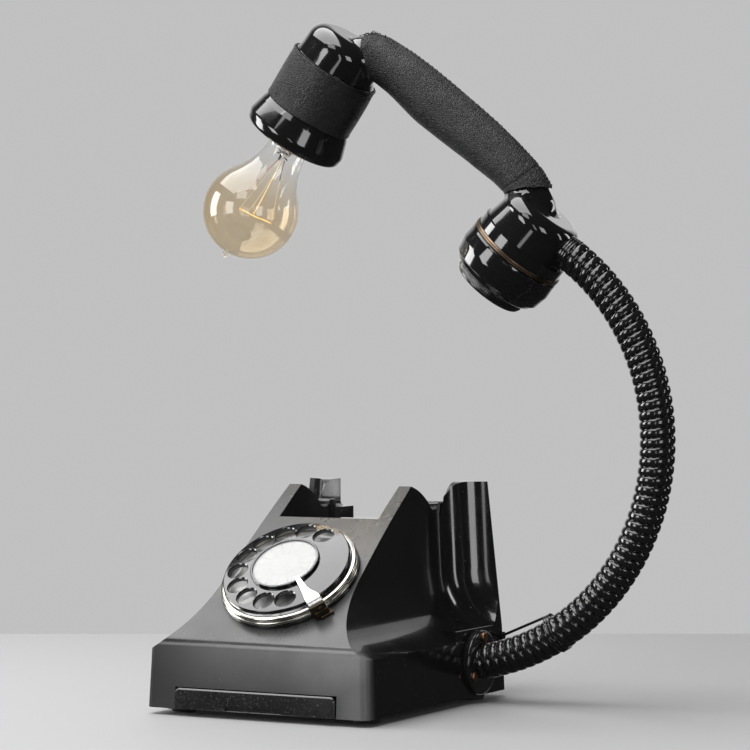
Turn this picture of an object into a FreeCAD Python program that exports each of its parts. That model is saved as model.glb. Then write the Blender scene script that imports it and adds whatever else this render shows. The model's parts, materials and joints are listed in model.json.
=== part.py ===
import FreeCAD, Part
import math
import os

from FreeCAD import Placement, Rotation, Vector

# A black desk telephone made over into a table lamp.  The handset stands above the
# telephone on a curved conduit arm, and a bulb sits in its receiver end.
# Millimetres, +Z up.  The model is drawn about the centre of the telephone's
# footprint, with +X to its right and the dial facing -Y.  Each sub-part is then moved
# by LAMP_SHIFT, so that the saved origin is the middle of the whole lamp, on the table.

# ---------------------------------------------------------------- driving dimensions
LAMP_SHIFT = -40.0          # from the telephone's centre to the middle of the lamp
WALL = 3.0                  # moulded wall
FOOT_HEIGHT = 4.0
BOTTOM_HALF_WIDTH = 71.8
LEDGE_HALF_WIDTH = 70.2
TOP_HALF_WIDTH = 61.0
BOTTOM_HALF_DEPTH = 89.1
TOP_HALF_DEPTH = 87.5
TOP_HEIGHT = 128.8
SHOULDER = (-87.6, 42.5)    # y, z where the apron turns into the sloped front
FRONT_MIDDLE = (-34.1, 86.9)
FRONT_TOP = (22.3, 127.6)

PANEL_HALF_WIDTH = 43.3     # the upper body between its two side scoops
PANEL_TOP_HALF_WIDTH = 40.9
LEDGE_PLANE = 32.7
SCOOP_RADIUS = 46.0
SCOOP_REAR_RADIUS = 28.0
SCOOP_REAR = 84.0

WELL_HALF_WIDTH = 33.0      # the gap between the left and the right cradle ears
WELL_FLOOR = 105.0
WELL_LIP = 109.5
REAR_WELL_HALF_WIDTH = 42.0
REAR_WELL_START = 55.0
REAR_WELL_FLOOR = 112.0

DRAWER_HALF_WIDTH = 51.7
DRAWER_TOP = 16.0
DRAWER_LENGTH = 97.0
TRAY_HALF_WIDTH = 49.5
TRAY_BOTTOM = 6.4
TRAY_TOP = 14.4

PLATE_TOP = FOOT_HEIGHT + 1.6
FEET = [(x, y) for x in (-60.0, 60.0) for y in (-66.0, 64.0)]
CASE_SCREWS = [(x, y) for x in (-60.5, 60.5) for y in (-78.0, 76.0)]
GLAND_X = 40.0
GLAND_Z = 18.0
GLAND_BORE = 3.6
GLAND_RADIUS = 7.0

PLUNGER_X = 37.0
PLUNGER_Y = 60.7
PLUNGER_WIDTH = 9.0
PLUNGER_DEPTH = 8.0
PLUNGER_TOP = 117.6
YOKE_TOP = 96.0
YOKE_BOTTOM = 92.5
SPRING_X = 28.0
SPRING_SHELF = 74.0

DIAL_CENTRE = Vector(0, -53.4, 84.0)
DIAL_TILT = 38.2
WHEEL_RADIUS = 38.0
FINGER_HOLES = 10
FINGER_HOLE_RADIUS = 5.9
FINGER_HOLE_CIRCLE = 29.5
FIRST_HOLE_ANGLE = 64.0
HOLE_STEP = 25.5
DIAL_SEAT = -10.6           # depth below the wheel's top, along the dial's axis
DRUM_RADIUS = 36.2
DRUM_BOTTOM = -38.0
DIAL_SHAFT_RADIUS = 3.0
RUNNING_GAP = 0.06
GEAR_TEETH = 45
PINION_TEETH = 9
GEAR_MODULE = 0.8
GOVERNOR_OFFSET = 21.75
DIAL_SCREWS = [80.0, 200.0, 320.0]
DIAL_SCREW_CIRCLE = 38.9
STOP_ANGLE = -42.0

ARM_Y = 50.0
ARM_CENTRE = (52.0, 155.4)  # x, z of the arm's centre of curvature
ARM_RADIUS = 133.0
ARM_START = -81.2           # degrees round that centre
ARM_END = 52.6
CONDUIT_RADIUS = 10.5
CORE_RADIUS = 6.0
FLEX_RADIUS = 2.5
FLANGE_RADIUS = 19.0
FLANGE_Z = 23.6
FLANGE_FACE = 74.6
FLANGE_SCREWS = [90.0, 210.0, 330.0]
FLANGE_SCREW_CIRCLE = 15.0
CLIP_ANGLE = -59.0
STAY_FOOT = Vector(70.6, 84.0, 36.4)
STAY_LUG = ARM_RADIUS - CONDUIT_RADIUS - 3.4

RECEIVER = (-24.8, 378.8)   # x, z on the receiver's axis at the top of its band
RECEIVER_ANGLE = 35.0       # from straight down, towards -X
TRANSMITTER = (97.1, 265.6)
TRANSMITTER_ANGLE = 42.0
BULB_CENTRE = 104.0         # along the receiver's axis
BULB_RADIUS = 30.0

# Grip sections: x and z of the middle, direction of the grip in degrees, half height
# in the grip's own plane, half thickness across it.
GRIP_SECTIONS = [
    (-17.0, 381.0, 10.0, 11.0, 10.6),
    (-1.5, 385.0, -18.0, 11.4, 10.9),
    (18.0, 374.2, -37.0, 12.4, 11.3),
    (43.0, 353.8, -38.5, 13.9, 11.9),
    (72.5, 330.8, -39.0, 12.9, 11.7),
    (93.5, 313.0, -46.0, 11.5, 11.4),
    (103.6, 300.5, -70.0, 11.9, 11.9),
    (107.5, 284.5, -88.0, 12.8, 12.6),
]
LEATHER = 1.2
NECK_FILLET = 6.0
POLE = 0.2                  # a turned end stops this short of its axis and closes flat


# ---------------------------------------------------------------- small helpers
def block(x0, x1, y0, y1, z0, z1):
    return Part.makeBox(x1 - x0, y1 - y0, z1 - z0, Vector(x0, y0, z0))


def rod(radius, start, end):
    return Part.makeCylinder(radius, (end - start).Length, start, end - start)


def hollow(outer, inner, z0, z1):
    """A plain ring about Z."""
    ring = Part.makeCylinder(outer, z1 - z0, Vector(0, 0, z0))
    return ring.cut(Part.makeCylinder(inner, z1 - z0 + 2, Vector(0, 0, z0 - 1)))


def wire(points, flat):
    """A closed wire.  A point is (a, b), or (a, b, mid_a, mid_b) for an arc that
    reaches it through the middle point.  flat turns a and b into a vector."""
    edges = []
    here = flat(*points[-1][:2])
    for point in points:
        there = flat(*point[:2])
        if len(point) == 4:
            edges.append(Part.Arc(here, flat(*point[2:]), there).toShape())
        else:
            edges.append(Part.LineSegment(here, there).toShape())
        here = there
    return Part.Wire(edges)


def turned(points, angle=360.0):
    """A solid of revolution about Z from (z, r) points."""
    face = Part.Face(wire(points, lambda z, r: Vector(r, 0, z)))
    return face.revolve(Vector(0, 0, 0), Vector(0, 0, 1), angle)


def fused(shapes):
    whole = shapes[0].multiFuse(shapes[1:]) if len(shapes) > 1 else shapes[0]
    return whole.removeSplitter()


def edges_where(shape, test):
    return [edge for edge in shape.Edges if test(edge.BoundBox, edge)]


def in_arm_plane(x, z):
    return Vector(x, ARM_Y, z)


def arm_point(angle, radius=ARM_RADIUS):
    turn = math.radians(angle)
    return in_arm_plane(
        ARM_CENTRE[0] + radius * math.cos(turn), ARM_CENTRE[1] + radius * math.sin(turn)
    )


def arm_direction(angle):
    turn = math.radians(angle)
    return Vector(-math.sin(turn), 0, math.cos(turn))


def arm_tube(outer, inner, start, end):
    """A tube bent round the arm's centre, from one angle to the other."""
    middle = arm_point(start)
    ring = Part.Wire(Part.makeCircle(outer, middle, arm_direction(start)))
    face = Part.Face(ring)
    if inner:
        bore = Part.Wire(Part.makeCircle(inner, middle, arm_direction(start)))
        face = face.cut(Part.Face(bore)).Faces[0]
    return face.revolve(in_arm_plane(*ARM_CENTRE), Vector(0, -1, 0), end - start)


def tilted_end(origin, angle):
    """Placement that turns +Z along a handset end's axis, angle from straight down."""
    turn = math.radians(angle)
    direction = Vector(-math.sin(turn), 0, -math.cos(turn))
    return Placement(in_arm_plane(*origin), Rotation(Vector(0, 0, 1), direction))


RECEIVER_PLACE = tilted_end(RECEIVER, RECEIVER_ANGLE)
TRANSMITTER_PLACE = tilted_end(TRANSMITTER, TRANSMITTER_ANGLE)
DIAL_PLACE = Placement(DIAL_CENTRE, Rotation(Vector(1, 0, 0), DIAL_TILT))


def placed(shape, place):
    moved = shape.copy()
    moved.Placement = place.multiply(moved.Placement)
    return moved


def slotted_screw(radius, head_radius, head_height, length):
    """A cheese-head screw: head up from z = 0, shank down, with a slot."""
    head = Part.makeCylinder(head_radius, head_height)
    rim = edges_where(head, lambda b, e: b.ZMin > head_height - 0.01 and b.XLength > 1)
    head = head.makeChamfer(head_height * 0.25, rim)
    shank = Part.makeCylinder(radius, length, Vector(0, 0, -length))
    slot = block(-head_radius, head_radius, -0.3, 0.3, head_height * 0.55, head_height + 1)
    return head.fuse(shank).cut(slot).removeSplitter()


# ---------------------------------------------------------------- telephone body
def side_view(inset):
    """The body seen from its side, as (y, z) points, or its hollow when inset."""
    bottom = FOOT_HEIGHT - (1.0 if inset else 0.0)
    front_bottom = (-BOTTOM_HALF_DEPTH + inset, bottom)
    rear_bottom = (BOTTOM_HALF_DEPTH - inset, bottom)
    shoulder = (SHOULDER[0] + inset, SHOULDER[1] - 0.45 * inset)
    middle = (FRONT_MIDDLE[0] + 0.62 * inset, FRONT_MIDDLE[1] - 0.79 * inset)
    if inset:
        ceiling = WELL_FLOOR - inset
        return [
            front_bottom,
            shoulder,
            (-5.0, ceiling, *middle),
            (TOP_HALF_DEPTH - inset, ceiling),
            rear_bottom,
        ]
    return [
        front_bottom,
        shoulder,
        (*FRONT_TOP, *middle),
        (44.2, 116.9, 34.2, 123.5),
        (56.5, 115.4, 50.4, 112.9),
        (66.0, 122.8),
        (78.0, TOP_HEIGHT, 71.2, 127.1),
        (TOP_HALF_DEPTH, TOP_HEIGHT),
        rear_bottom,
    ]


def front_view(inset):
    """The body seen from the front, as (x, z) points: an apron and a taper above."""
    bottom = BOTTOM_HALF_WIDTH - inset
    ledge = LEDGE_HALF_WIDTH - inset
    top = TOP_HALF_WIDTH - inset
    low = FOOT_HEIGHT - 2.0
    ledge_height = LEDGE_PLANE + 10.0
    return [
        (-bottom, low),
        (bottom, low),
        (ledge, ledge_height),
        (top, TOP_HEIGHT + 1.0),
        (-top, TOP_HEIGHT + 1.0),
        (-ledge, ledge_height),
    ]


def side_scoop(inset):
    """The cutter that carves the right side scoop; the left one mirrors it."""
    lean = (PANEL_HALF_WIDTH - PANEL_TOP_HALF_WIDTH) / (FRONT_TOP[1] - 78.7)
    floor = LEDGE_PLANE - inset
    corner = PANEL_HALF_WIDTH - inset + lean * (78.7 - floor)
    top = 200.0
    outline = [
        (corner, floor),
        (150.0, floor),
        (150.0, top),
        (corner - lean * (top - floor), top),
    ]
    face = Part.Face(wire(outline, lambda x, z: Vector(x, -200, z)))
    cutter = face.extrude(Vector(0, 200 + SCOOP_REAR + inset, 0))
    inner = edges_where(
        cutter,
        lambda b, e: b.YLength > 100 and b.XMax < 60 and b.ZMax < 60,
    )
    cutter = cutter.makeFillet(SCOOP_RADIUS + inset, inner)
    rear = edges_where(
        cutter,
        lambda b, e: b.YMin > SCOOP_REAR - 1 and b.XMin < 120 and b.ZMin < 190,
    )
    return cutter.makeFillet(SCOOP_REAR_RADIUS + inset, rear)


def body_form(inset):
    side = Part.Face(wire(side_view(inset), lambda y, z: Vector(-90, y, z)))
    front = Part.Face(wire(front_view(inset), lambda x, z: Vector(x, -120, z)))
    prism = side.extrude(Vector(180, 0, 0))
    if not inset:
        shoulder = edges_where(prism, lambda b, e: b.XLength > 100 and b.YMax < -80 and b.ZMin > 40)
        prism = prism.makeFillet(7.0, shoulder)
    form = prism.common(front.extrude(Vector(0, 240, 0)))
    if not inset:
        upright = edges_where(form, lambda b, e: b.ZMax < 44 and b.ZLength > 20 and abs(b.YMin) > 80)
        form = form.makeFillet(5.0, upright)
    scoop = side_scoop(inset)
    other = scoop.mirror(Vector(0, 0, 0), Vector(1, 0, 0))
    return form.cut(scoop).cut(other)


def cradle_well():
    """The cutter for the gap between the ears and for the ledges at the plungers."""
    half = WELL_HALF_WIDTH
    deep = block(-half, half, 4, 100, WELL_FLOOR, 200)
    lip = block(-half, half, -40, 5, WELL_LIP, 200)
    rear = block(
        -REAR_WELL_HALF_WIDTH,
        REAR_WELL_HALF_WIDTH,
        REAR_WELL_START,
        100,
        REAR_WELL_FLOOR,
        200,
    )
    corners = edges_where(
        rear,
        lambda b, e: b.YLength > 20 and b.ZMax < REAR_WELL_FLOOR + 1,
    )
    return deep.fuse(lip).fuse(rear.makeFillet(3.0, corners))


def screw_post(x, y):
    """A post for a case screw, with a web to the side wall."""
    bottom = FOOT_HEIGHT + 1.6
    post = Part.makeCylinder(4.5, 26.0, Vector(x, y, bottom))
    web = block(*sorted((x, math.copysign(72.0, x))), y - 1.5, y + 1.5, bottom, bottom + 26.0)
    return post.fuse(web)


def flange_screw_place(angle):
    turn = math.radians(angle)
    y = ARM_Y + FLANGE_SCREW_CIRCLE * math.cos(turn)
    z = FLANGE_Z + FLANGE_SCREW_CIRCLE * math.sin(turn)
    return Placement(Vector(FLANGE_FACE, y, z), Rotation(Vector(0, 0, 1), Vector(1, 0, 0)))


def body_shell(outer):
    shell = outer.cut(body_form(WALL)).cut(cradle_well())
    inside = body_form(0.5)
    posts = [screw_post(x, y).common(inside) for x, y in CASE_SCREWS]
    shell = fused([shell] + posts)
    for x, y in CASE_SCREWS:
        shell = shell.cut(Part.makeCylinder(1.5, 16.0, Vector(x, y, FOOT_HEIGHT)))
    drum = Part.makeCylinder(DRUM_RADIUS + 0.4, 60, Vector(0, 0, DIAL_SEAT - 30))
    seat = Part.makeCylinder(41.4, 30, Vector(0, 0, DIAL_SEAT))
    cutters = [placed(drum, DIAL_PLACE), placed(seat, DIAL_PLACE)]
    for angle in DIAL_SCREWS:
        cutters.append(placed(dial_screw_hole(angle), DIAL_PLACE))
    slot_half = DRAWER_HALF_WIDTH + 0.5
    cutters.append(block(-slot_half, slot_half, -95, -80, 0, DRAWER_TOP + 0.5))
    for side in (-1, 1):
        cutters.append(plunger_block(side, 0.35, 80, 130))
    cutters.append(rod(CORE_RADIUS + 0.3, Vector(60, ARM_Y, 22.6), Vector(76, ARM_Y, 24.0)))
    for angle in FLANGE_SCREWS:
        hole = Part.makeCylinder(1.5, 16, Vector(0, 0, -16))
        cutters.append(placed(hole, flange_screw_place(angle)))
    gland = Vector(GLAND_X, 80, GLAND_Z)
    cutters.append(rod(GLAND_RADIUS, gland, gland + Vector(0, 20, 0)))
    for cutter in cutters:
        shell = shell.cut(cutter)
    return shell.removeSplitter()


def base_plate():
    bottom = FOOT_HEIGHT + 0.1
    plate = block(-68.4, 68.4, -85.6, 85.6, bottom, bottom + 1.5)
    upright = edges_where(plate, lambda b, e: b.ZLength > 1 and b.XLength < 1)
    plate = plate.makeFillet(3.0, upright)
    plate = plate.cut(block(-53, 53, -90, -82, 0, 10))
    for x, y in CASE_SCREWS:
        plate = plate.cut(Part.makeCylinder(1.7, 6, Vector(x, y, 2)))
    for x, y in FEET:
        plate = plate.cut(Part.makeCylinder(1.6, 6, Vector(x, y, 2)))
    return plate


def feet():
    """Four dished rubber feet, each hollow for the head of its screw."""
    pads = []
    for x, y in FEET:
        pad = turned(
            [
                (0.0, 2.6),
                (0.0, 7.0),
                (FOOT_HEIGHT + 0.1, 8.0),
                (FOOT_HEIGHT + 0.1, 1.6),
                (2.6, 1.6),
                (2.6, 2.6),
            ]
        )
        pads.append(pad.translated(Vector(x, y, 0)))
    return Part.makeCompound(pads)


def foot_screws():
    screws = []
    for x, y in FEET:
        screw = slotted_screw(1.6, 2.6, 1.6, 5.2)
        screw.rotate(Vector(0, 0, 0), Vector(1, 0, 0), 180)
        screws.append(screw.translated(Vector(x, y, 2.6)))
    return Part.makeCompound(screws)


def case_screws():
    screws = []
    for x, y in CASE_SCREWS:
        screw = slotted_screw(1.5, 3.2, 1.6, 14.0)
        screw.rotate(Vector(0, 0, 0), Vector(1, 0, 0), 180)
        screws.append(screw.translated(Vector(x, y, FOOT_HEIGHT + 0.1)))
    return Part.makeCompound(screws)


def cord_gland():
    """A flanged bush through the rear wall, where a supply cord would enter."""
    gland = turned(
        [
            (-8.0, GLAND_BORE),
            (-8.0, GLAND_RADIUS),
            (5.4, GLAND_RADIUS),
            (5.4, 9.0),
            (7.4, 8.4, 6.9, 9.0),
            (7.4, GLAND_BORE),
        ]
    )
    place = Placement(
        Vector(GLAND_X, 83.6, GLAND_Z), Rotation(Vector(0, 0, 1), Vector(0, 1, 0))
    )
    return placed(gland, place)


def terminal_block():
    base = block(22, 38, 41, 59, PLATE_TOP, PLATE_TOP + 11)
    base = base.makeFillet(1.0, edges_where(base, lambda b, e: b.ZMin > PLATE_TOP + 10))
    for y in (45.5, 54.5):
        base = base.cut(Part.makeCylinder(2.2, 9, Vector(30, y, PLATE_TOP + 3.6)))
        base = base.cut(rod(1.4, Vector(20, y, 12.0), Vector(40, y, 12.0)))
    return base


def terminal_screws():
    screws = []
    for y in (45.5, 54.5):
        screw = slotted_screw(1.2, 2.0, 1.6, 1.4)
        screws.append(screw.translated(Vector(30, y, PLATE_TOP + 8.2)))
    return Part.makeCompound(screws)


# ---------------------------------------------------------------- drawer
def drawer_tray():
    """A shallow pull-out tray behind a moulded front with rounded upper corners."""
    half = DRAWER_HALF_WIDTH
    front = block(-half, half, -90.4, -88.0, FOOT_HEIGHT + 0.3, DRAWER_TOP)
    ends = edges_where(
        front, lambda b, e: b.YLength > 1 and b.XLength < 0.1 and b.ZMin > 10
    )
    front = front.makeFillet(3.0, ends)
    face = edges_where(front, lambda b, e: b.YMax < -90.3 and b.ZMax > FOOT_HEIGHT + 1)
    front = front.makeChamfer(0.8, face)
    rear = -88.0 + DRAWER_LENGTH
    tray = block(-TRAY_HALF_WIDTH, TRAY_HALF_WIDTH, -88.0, rear, TRAY_BOTTOM, TRAY_TOP)
    inside = block(
        1.0 - TRAY_HALF_WIDTH,
        TRAY_HALF_WIDTH - 1.0,
        -87.0,
        rear - 1.0,
        TRAY_BOTTOM + 1.0,
        TRAY_TOP + 1.0,
    )
    pull = block(-18, 18, -92, -89.2, 4.5, 7.0)
    return fused([front, tray.cut(inside)]).cut(pull)


def drawer_frame():
    """The steel channel on the base plate that the tray runs in, with a rear stop."""
    rear = -88.0 + DRAWER_LENGTH + 1.0
    parts = []
    for side in (-1, 1):
        outer = side * (TRAY_HALF_WIDTH + 1.6)
        inner = side * (TRAY_HALF_WIDTH + 0.6)
        reach = side * (TRAY_HALF_WIDTH - 3.0)
        wall = block(*sorted((inner, outer)), -80, rear, PLATE_TOP, TRAY_TOP + 1.6)
        lip = block(*sorted((reach, outer)), -80, rear, TRAY_TOP + 0.6, TRAY_TOP + 1.6)
        parts += [wall, lip]
    span = TRAY_HALF_WIDTH + 1.6
    parts.append(block(-span, span, rear, rear + 1.0, PLATE_TOP, TRAY_TOP + 1.6))
    return fused(parts)


# ---------------------------------------------------------------- cradle switch
def plunger_block(side, gap, bottom, top):
    half_width = PLUNGER_WIDTH / 2 + gap
    half_depth = PLUNGER_DEPTH / 2 + gap
    x = side * PLUNGER_X
    y = PLUNGER_Y
    return block(x - half_width, x + half_width, y - half_depth, y + half_depth, bottom, top)


def plunger(side):
    body = plunger_block(side, 0.0, YOKE_TOP, PLUNGER_TOP)
    top = edges_where(body, lambda b, e: b.ZMin > PLUNGER_TOP - 0.1)
    return body.makeFillet(1.6, top)


def plunger_yoke():
    """The bar that ties both plungers together and presses the contact springs."""
    reach = PLUNGER_X + PLUNGER_WIDTH / 2
    bar = block(-reach, reach, PLUNGER_Y - 4, PLUNGER_Y + 4, YOKE_BOTTOM, YOKE_TOP)
    finger = block(-3, 3, PLUNGER_Y - 3, PLUNGER_Y + 3, 84.0, YOKE_BOTTOM + 1)
    return fused([bar, finger])


def spring_seat(x):
    """A shelf bracket under one spring, with a peg to hold the spring."""
    shelf = block(x - 7, x + 7, PLUNGER_Y - 7, 84.5, SPRING_SHELF - 2.0, SPRING_SHELF)
    web = block(x - 7, x + 7, 82.6, 84.5, 60.0, SPRING_SHELF)
    peg = Part.makeCylinder(2.2, 4.0, Vector(x, PLUNGER_Y, SPRING_SHELF))
    return fused([shelf, web, peg])


def plunger_springs():
    """Two coil springs between the yoke and its shelves."""
    coils = []
    radius = 3.6
    thick = 0.45
    height = YOKE_BOTTOM - SPRING_SHELF - 2 * thick - 0.1
    for side in (-1, 1):
        helix = Part.makeHelix(height / 6, height, radius)
        ring = Part.Wire(Part.makeCircle(thick, Vector(radius, 0, 0), Vector(0, 1, 0)))
        coil = Part.Wire(helix.Edges).makePipeShell([ring], True, True)
        start = Vector(side * SPRING_X, PLUNGER_Y, SPRING_SHELF + thick + 0.05)
        coils.append(coil.translated(start))
    return Part.makeCompound(coils)


def switch_bracket():
    """The moulded pillar and shelves that carry the switch, screwed to the rear."""
    beam = block(-SPRING_X - 7, SPRING_X + 7, 79.0, 84.5, 60.0, 66.0)
    return fused([beam, spring_seat(-SPRING_X), spring_seat(SPRING_X)])


def contact_springs():
    """A pile of contact blades that the yoke's finger presses."""
    pile = block(-5, 5, 70.0, 79.0, 60.0, 80.0)
    parts = [pile]
    for level in range(3):
        z = 65.0 + 5.0 * level
        parts.append(block(-2.5, 2.5, PLUNGER_Y - 12.0, 71.0, z, z + 0.6))
        parts.append(Part.makeCylinder(1.2, 1.6, Vector(0, PLUNGER_Y - 9.0, z - 0.5)))
    return fused(parts)


# ---------------------------------------------------------------- dial
def dial_screw_hole(angle):
    hole = Part.makeCylinder(1.5, 20, Vector(DIAL_SCREW_CIRCLE, 0, DIAL_SEAT - 10))
    hole.rotate(Vector(0, 0, 0), Vector(0, 0, 1), angle)
    return hole


def dial_case():
    """The black drum behind the dial, with the flange that lies on the body."""
    drum = turned(
        [
            (DRUM_BOTTOM, DIAL_SHAFT_RADIUS + RUNNING_GAP),
            (DRUM_BOTTOM, DRUM_RADIUS),
            (DIAL_SEAT, DRUM_RADIUS),
            (DIAL_SEAT, 41.0),
            (DIAL_SEAT + 1.6, 41.0),
            (DIAL_SEAT + 2.0, 40.6),
            (DIAL_SEAT + 2.0, 38.4),
            (-7.5, 38.4),
            (-7.5, 30.0),
            (-8.6, 30.0),
            (-8.6, DRUM_RADIUS - 1.8),
            (DRUM_BOTTOM + 1.5, DRUM_RADIUS - 1.8),
            (DRUM_BOTTOM + 1.5, DIAL_SHAFT_RADIUS + RUNNING_GAP),
        ]
    )
    pivot = Part.makeCylinder(1.2 + RUNNING_GAP, 4, Vector(0, GOVERNOR_OFFSET, DRUM_BOTTOM - 1))
    for angle in DIAL_SCREWS:
        tap = Part.makeCylinder(1.4, 1.2, Vector(DIAL_SCREW_CIRCLE, 0, DIAL_SEAT - 0.1))
        tap.rotate(Vector(0, 0, 0), Vector(0, 0, 1), angle)
        drum = drum.cut(tap)
    return placed(drum.cut(pivot), DIAL_PLACE)


def dial_screws():
    screws = []
    for angle in DIAL_SCREWS:
        screw = slotted_screw(1.4, 2.4, 1.5, 5.5)
        screw.rotate(Vector(0, 0, 0), Vector(1, 0, 0), 180)
        screw.translate(Vector(DIAL_SCREW_CIRCLE, 0, DIAL_SEAT - 4.5))
        screw.rotate(Vector(0, 0, 0), Vector(0, 0, 1), angle)
        screws.append(placed(screw, DIAL_PLACE))
    return Part.makeCompound(screws)


def dial_bezel():
    """A bright ring with two rounded ribs round the number plate."""
    low = DIAL_SEAT + 2.0
    ring = turned(
        [
            (low, 38.5),
            (low, 40.0),
            (low + 2.4, 40.0, low + 1.2, 41.2),
            (low + 2.9, 39.7),
            (low + 5.3, 39.7, low + 4.1, 40.9),
            (low + 5.3, 38.5),
        ]
    )
    return placed(ring, DIAL_PLACE)


def number_plate():
    plate = hollow(38.3, 10.0, -7.4, -6.6)
    return placed(plate, DIAL_PLACE)


def finger_wheel():
    """The wheel with its ten finger holes, rim round-over and hub."""
    wheel = turned(
        [
            (-2.6, 8.0),
            (-2.6, 37.2),
            (-1.8, 38.0, -2.4, 37.8),
            (-0.8, 38.0),
            (0.0, 37.2, -0.2, 37.8),
            (0.0, DIAL_SHAFT_RADIUS),
            (-6.0, DIAL_SHAFT_RADIUS),
            (-6.0, 8.0),
        ]
    )
    for index in range(FINGER_HOLES):
        hole = turned(
            [
                (-4.0, 0.0),
                (-4.0, FINGER_HOLE_RADIUS + 0.4),
                (-2.2, FINGER_HOLE_RADIUS),
                (-0.6, FINGER_HOLE_RADIUS),
                (0.2, FINGER_HOLE_RADIUS + 0.8),
                (0.2, 0.0),
            ]
        )
        hole.translate(Vector(FINGER_HOLE_CIRCLE, 0, 0))
        hole.rotate(Vector(0, 0, 0), Vector(0, 0, 1), FIRST_HOLE_ANGLE + HOLE_STEP * index)
        wheel = wheel.cut(hole)
    return placed(wheel, DIAL_PLACE)


def label_ring():
    ring = turned(
        [
            (0.0, 18.0),
            (0.0, 20.6),
            (1.3, 20.6),
            (1.8, 20.1, 1.65, 20.45),
            (1.8, 19.4),
            (0.5, 19.4),
            (0.5, 18.0),
        ]
    )
    return placed(ring, DIAL_PLACE)


def label_card():
    return placed(Part.makeCylinder(19.3, 0.4, Vector(0, 0, 0.5)), DIAL_PLACE)


def label_window():
    window = turned([(0.9, 0.0), (0.9, 19.3), (1.5, 19.3), (1.9, POLE, 1.8, 9.7), (1.9, 0.0)])
    return placed(window, DIAL_PLACE)


def dial_shaft():
    return placed(Part.makeCylinder(DIAL_SHAFT_RADIUS, 37.6, Vector(0, 0, -37.4)), DIAL_PLACE)


def toothed(teeth, low, high, bore):
    """A spur gear about Z with tapered teeth, slimmer than the gaps between them."""
    pitch_radius = GEAR_MODULE * teeth / 2
    root = pitch_radius - 0.9
    tip = pitch_radius + 0.6
    step = 2 * math.pi / teeth
    outline = []
    for index in range(teeth):
        middle = index * step
        for share, radius in ((-0.24, root), (-0.09, tip), (0.09, tip), (0.24, root)):
            turn = middle + share * step
            outline.append((radius * math.cos(turn), radius * math.sin(turn)))
    gear = Part.Face(wire(outline, lambda x, y: Vector(x, y, low))).extrude(Vector(0, 0, high - low))
    return gear.cut(Part.makeCylinder(bore, high - low + 2, Vector(0, 0, low - 1)))


def main_gear():
    gear = toothed(GEAR_TEETH, -31.0, -29.0, DIAL_SHAFT_RADIUS)
    gear.rotate(Vector(0, 0, 0), Vector(0, 0, 1), 90)
    for index in range(5):
        window = Part.makeCylinder(3.2, 4, Vector(10.5, 0, -32))
        window.rotate(Vector(0, 0, 0), Vector(0, 0, 1), 72 * index)
        gear = gear.cut(window)
    return placed(gear, DIAL_PLACE)


def governor():
    """Spindle, pinion and fly-weight of the speed governor, in one piece."""
    pinion = toothed(PINION_TEETH, -31.4, -28.6, 0.6)
    half_step = 180.0 / PINION_TEETH
    pinion.rotate(Vector(0, 0, 0), Vector(0, 0, 1), -90 + half_step)
    spindle = Part.makeCylinder(1.2, 22.0, Vector(0, 0, -37.6))
    weight = hollow(9.0, 6.6, -21.5, -17.0)
    bridge = block(-7.5, 7.5, -1.4, 1.4, -19.0, -17.4)
    whole = fused([pinion, spindle, weight, bridge])
    whole.translate(Vector(0, GOVERNOR_OFFSET, 0))
    return placed(whole, DIAL_PLACE)


def dial_frame():
    """The brass plate in the drum that carries the shaft and the governor."""
    plate = Part.makeCylinder(33.0, 1.5, Vector(0, 0, -26.0))
    plate = plate.cut(Part.makeCylinder(DIAL_SHAFT_RADIUS + RUNNING_GAP, 4, Vector(0, 0, -27)))
    plate = plate.cut(Part.makeCylinder(1.2 + RUNNING_GAP, 4, Vector(0, GOVERNOR_OFFSET, -27)))
    pillars = []
    for index in range(3):
        pillar = Part.makeCylinder(2.2, 10.6, Vector(27.0, 0, DRUM_BOTTOM + 1.5))
        pillar.rotate(Vector(0, 0, 0), Vector(0, 0, 1), 30 + 120 * index)
        pillars.append(pillar)
    for side in (-1, 1):
        plate = plate.cut(Part.makeCylinder(6.0, 4, Vector(22.0 * side, -12.0, -27)))
    return placed(fused([plate] + pillars), DIAL_PLACE)


def impulse_springs():
    """The contact blades that the dial opens and closes as it runs back."""
    base = block(-20, -12, -24, -17, -24.5, -13.0)
    parts = [base]
    for level in range(3):
        z = -21.5 + 3.2 * level
        parts.append(block(-14, 14, -22.5, -18.5, z, z + 0.6))
    return placed(fused(parts), DIAL_PLACE)


def mainspring():
    """The flat return spring round the shaft, as its wound pack."""
    turns = []
    for index in range(4):
        inner = 4.4 + 1.8 * index
        turns.append(hollow(inner + 0.9, inner, -23.4, -19.6))
    tie = block(4.6, 10.6, -0.8, 0.8, -21.8, -21.2)
    return placed(fused(turns + [tie]), DIAL_PLACE)


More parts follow.
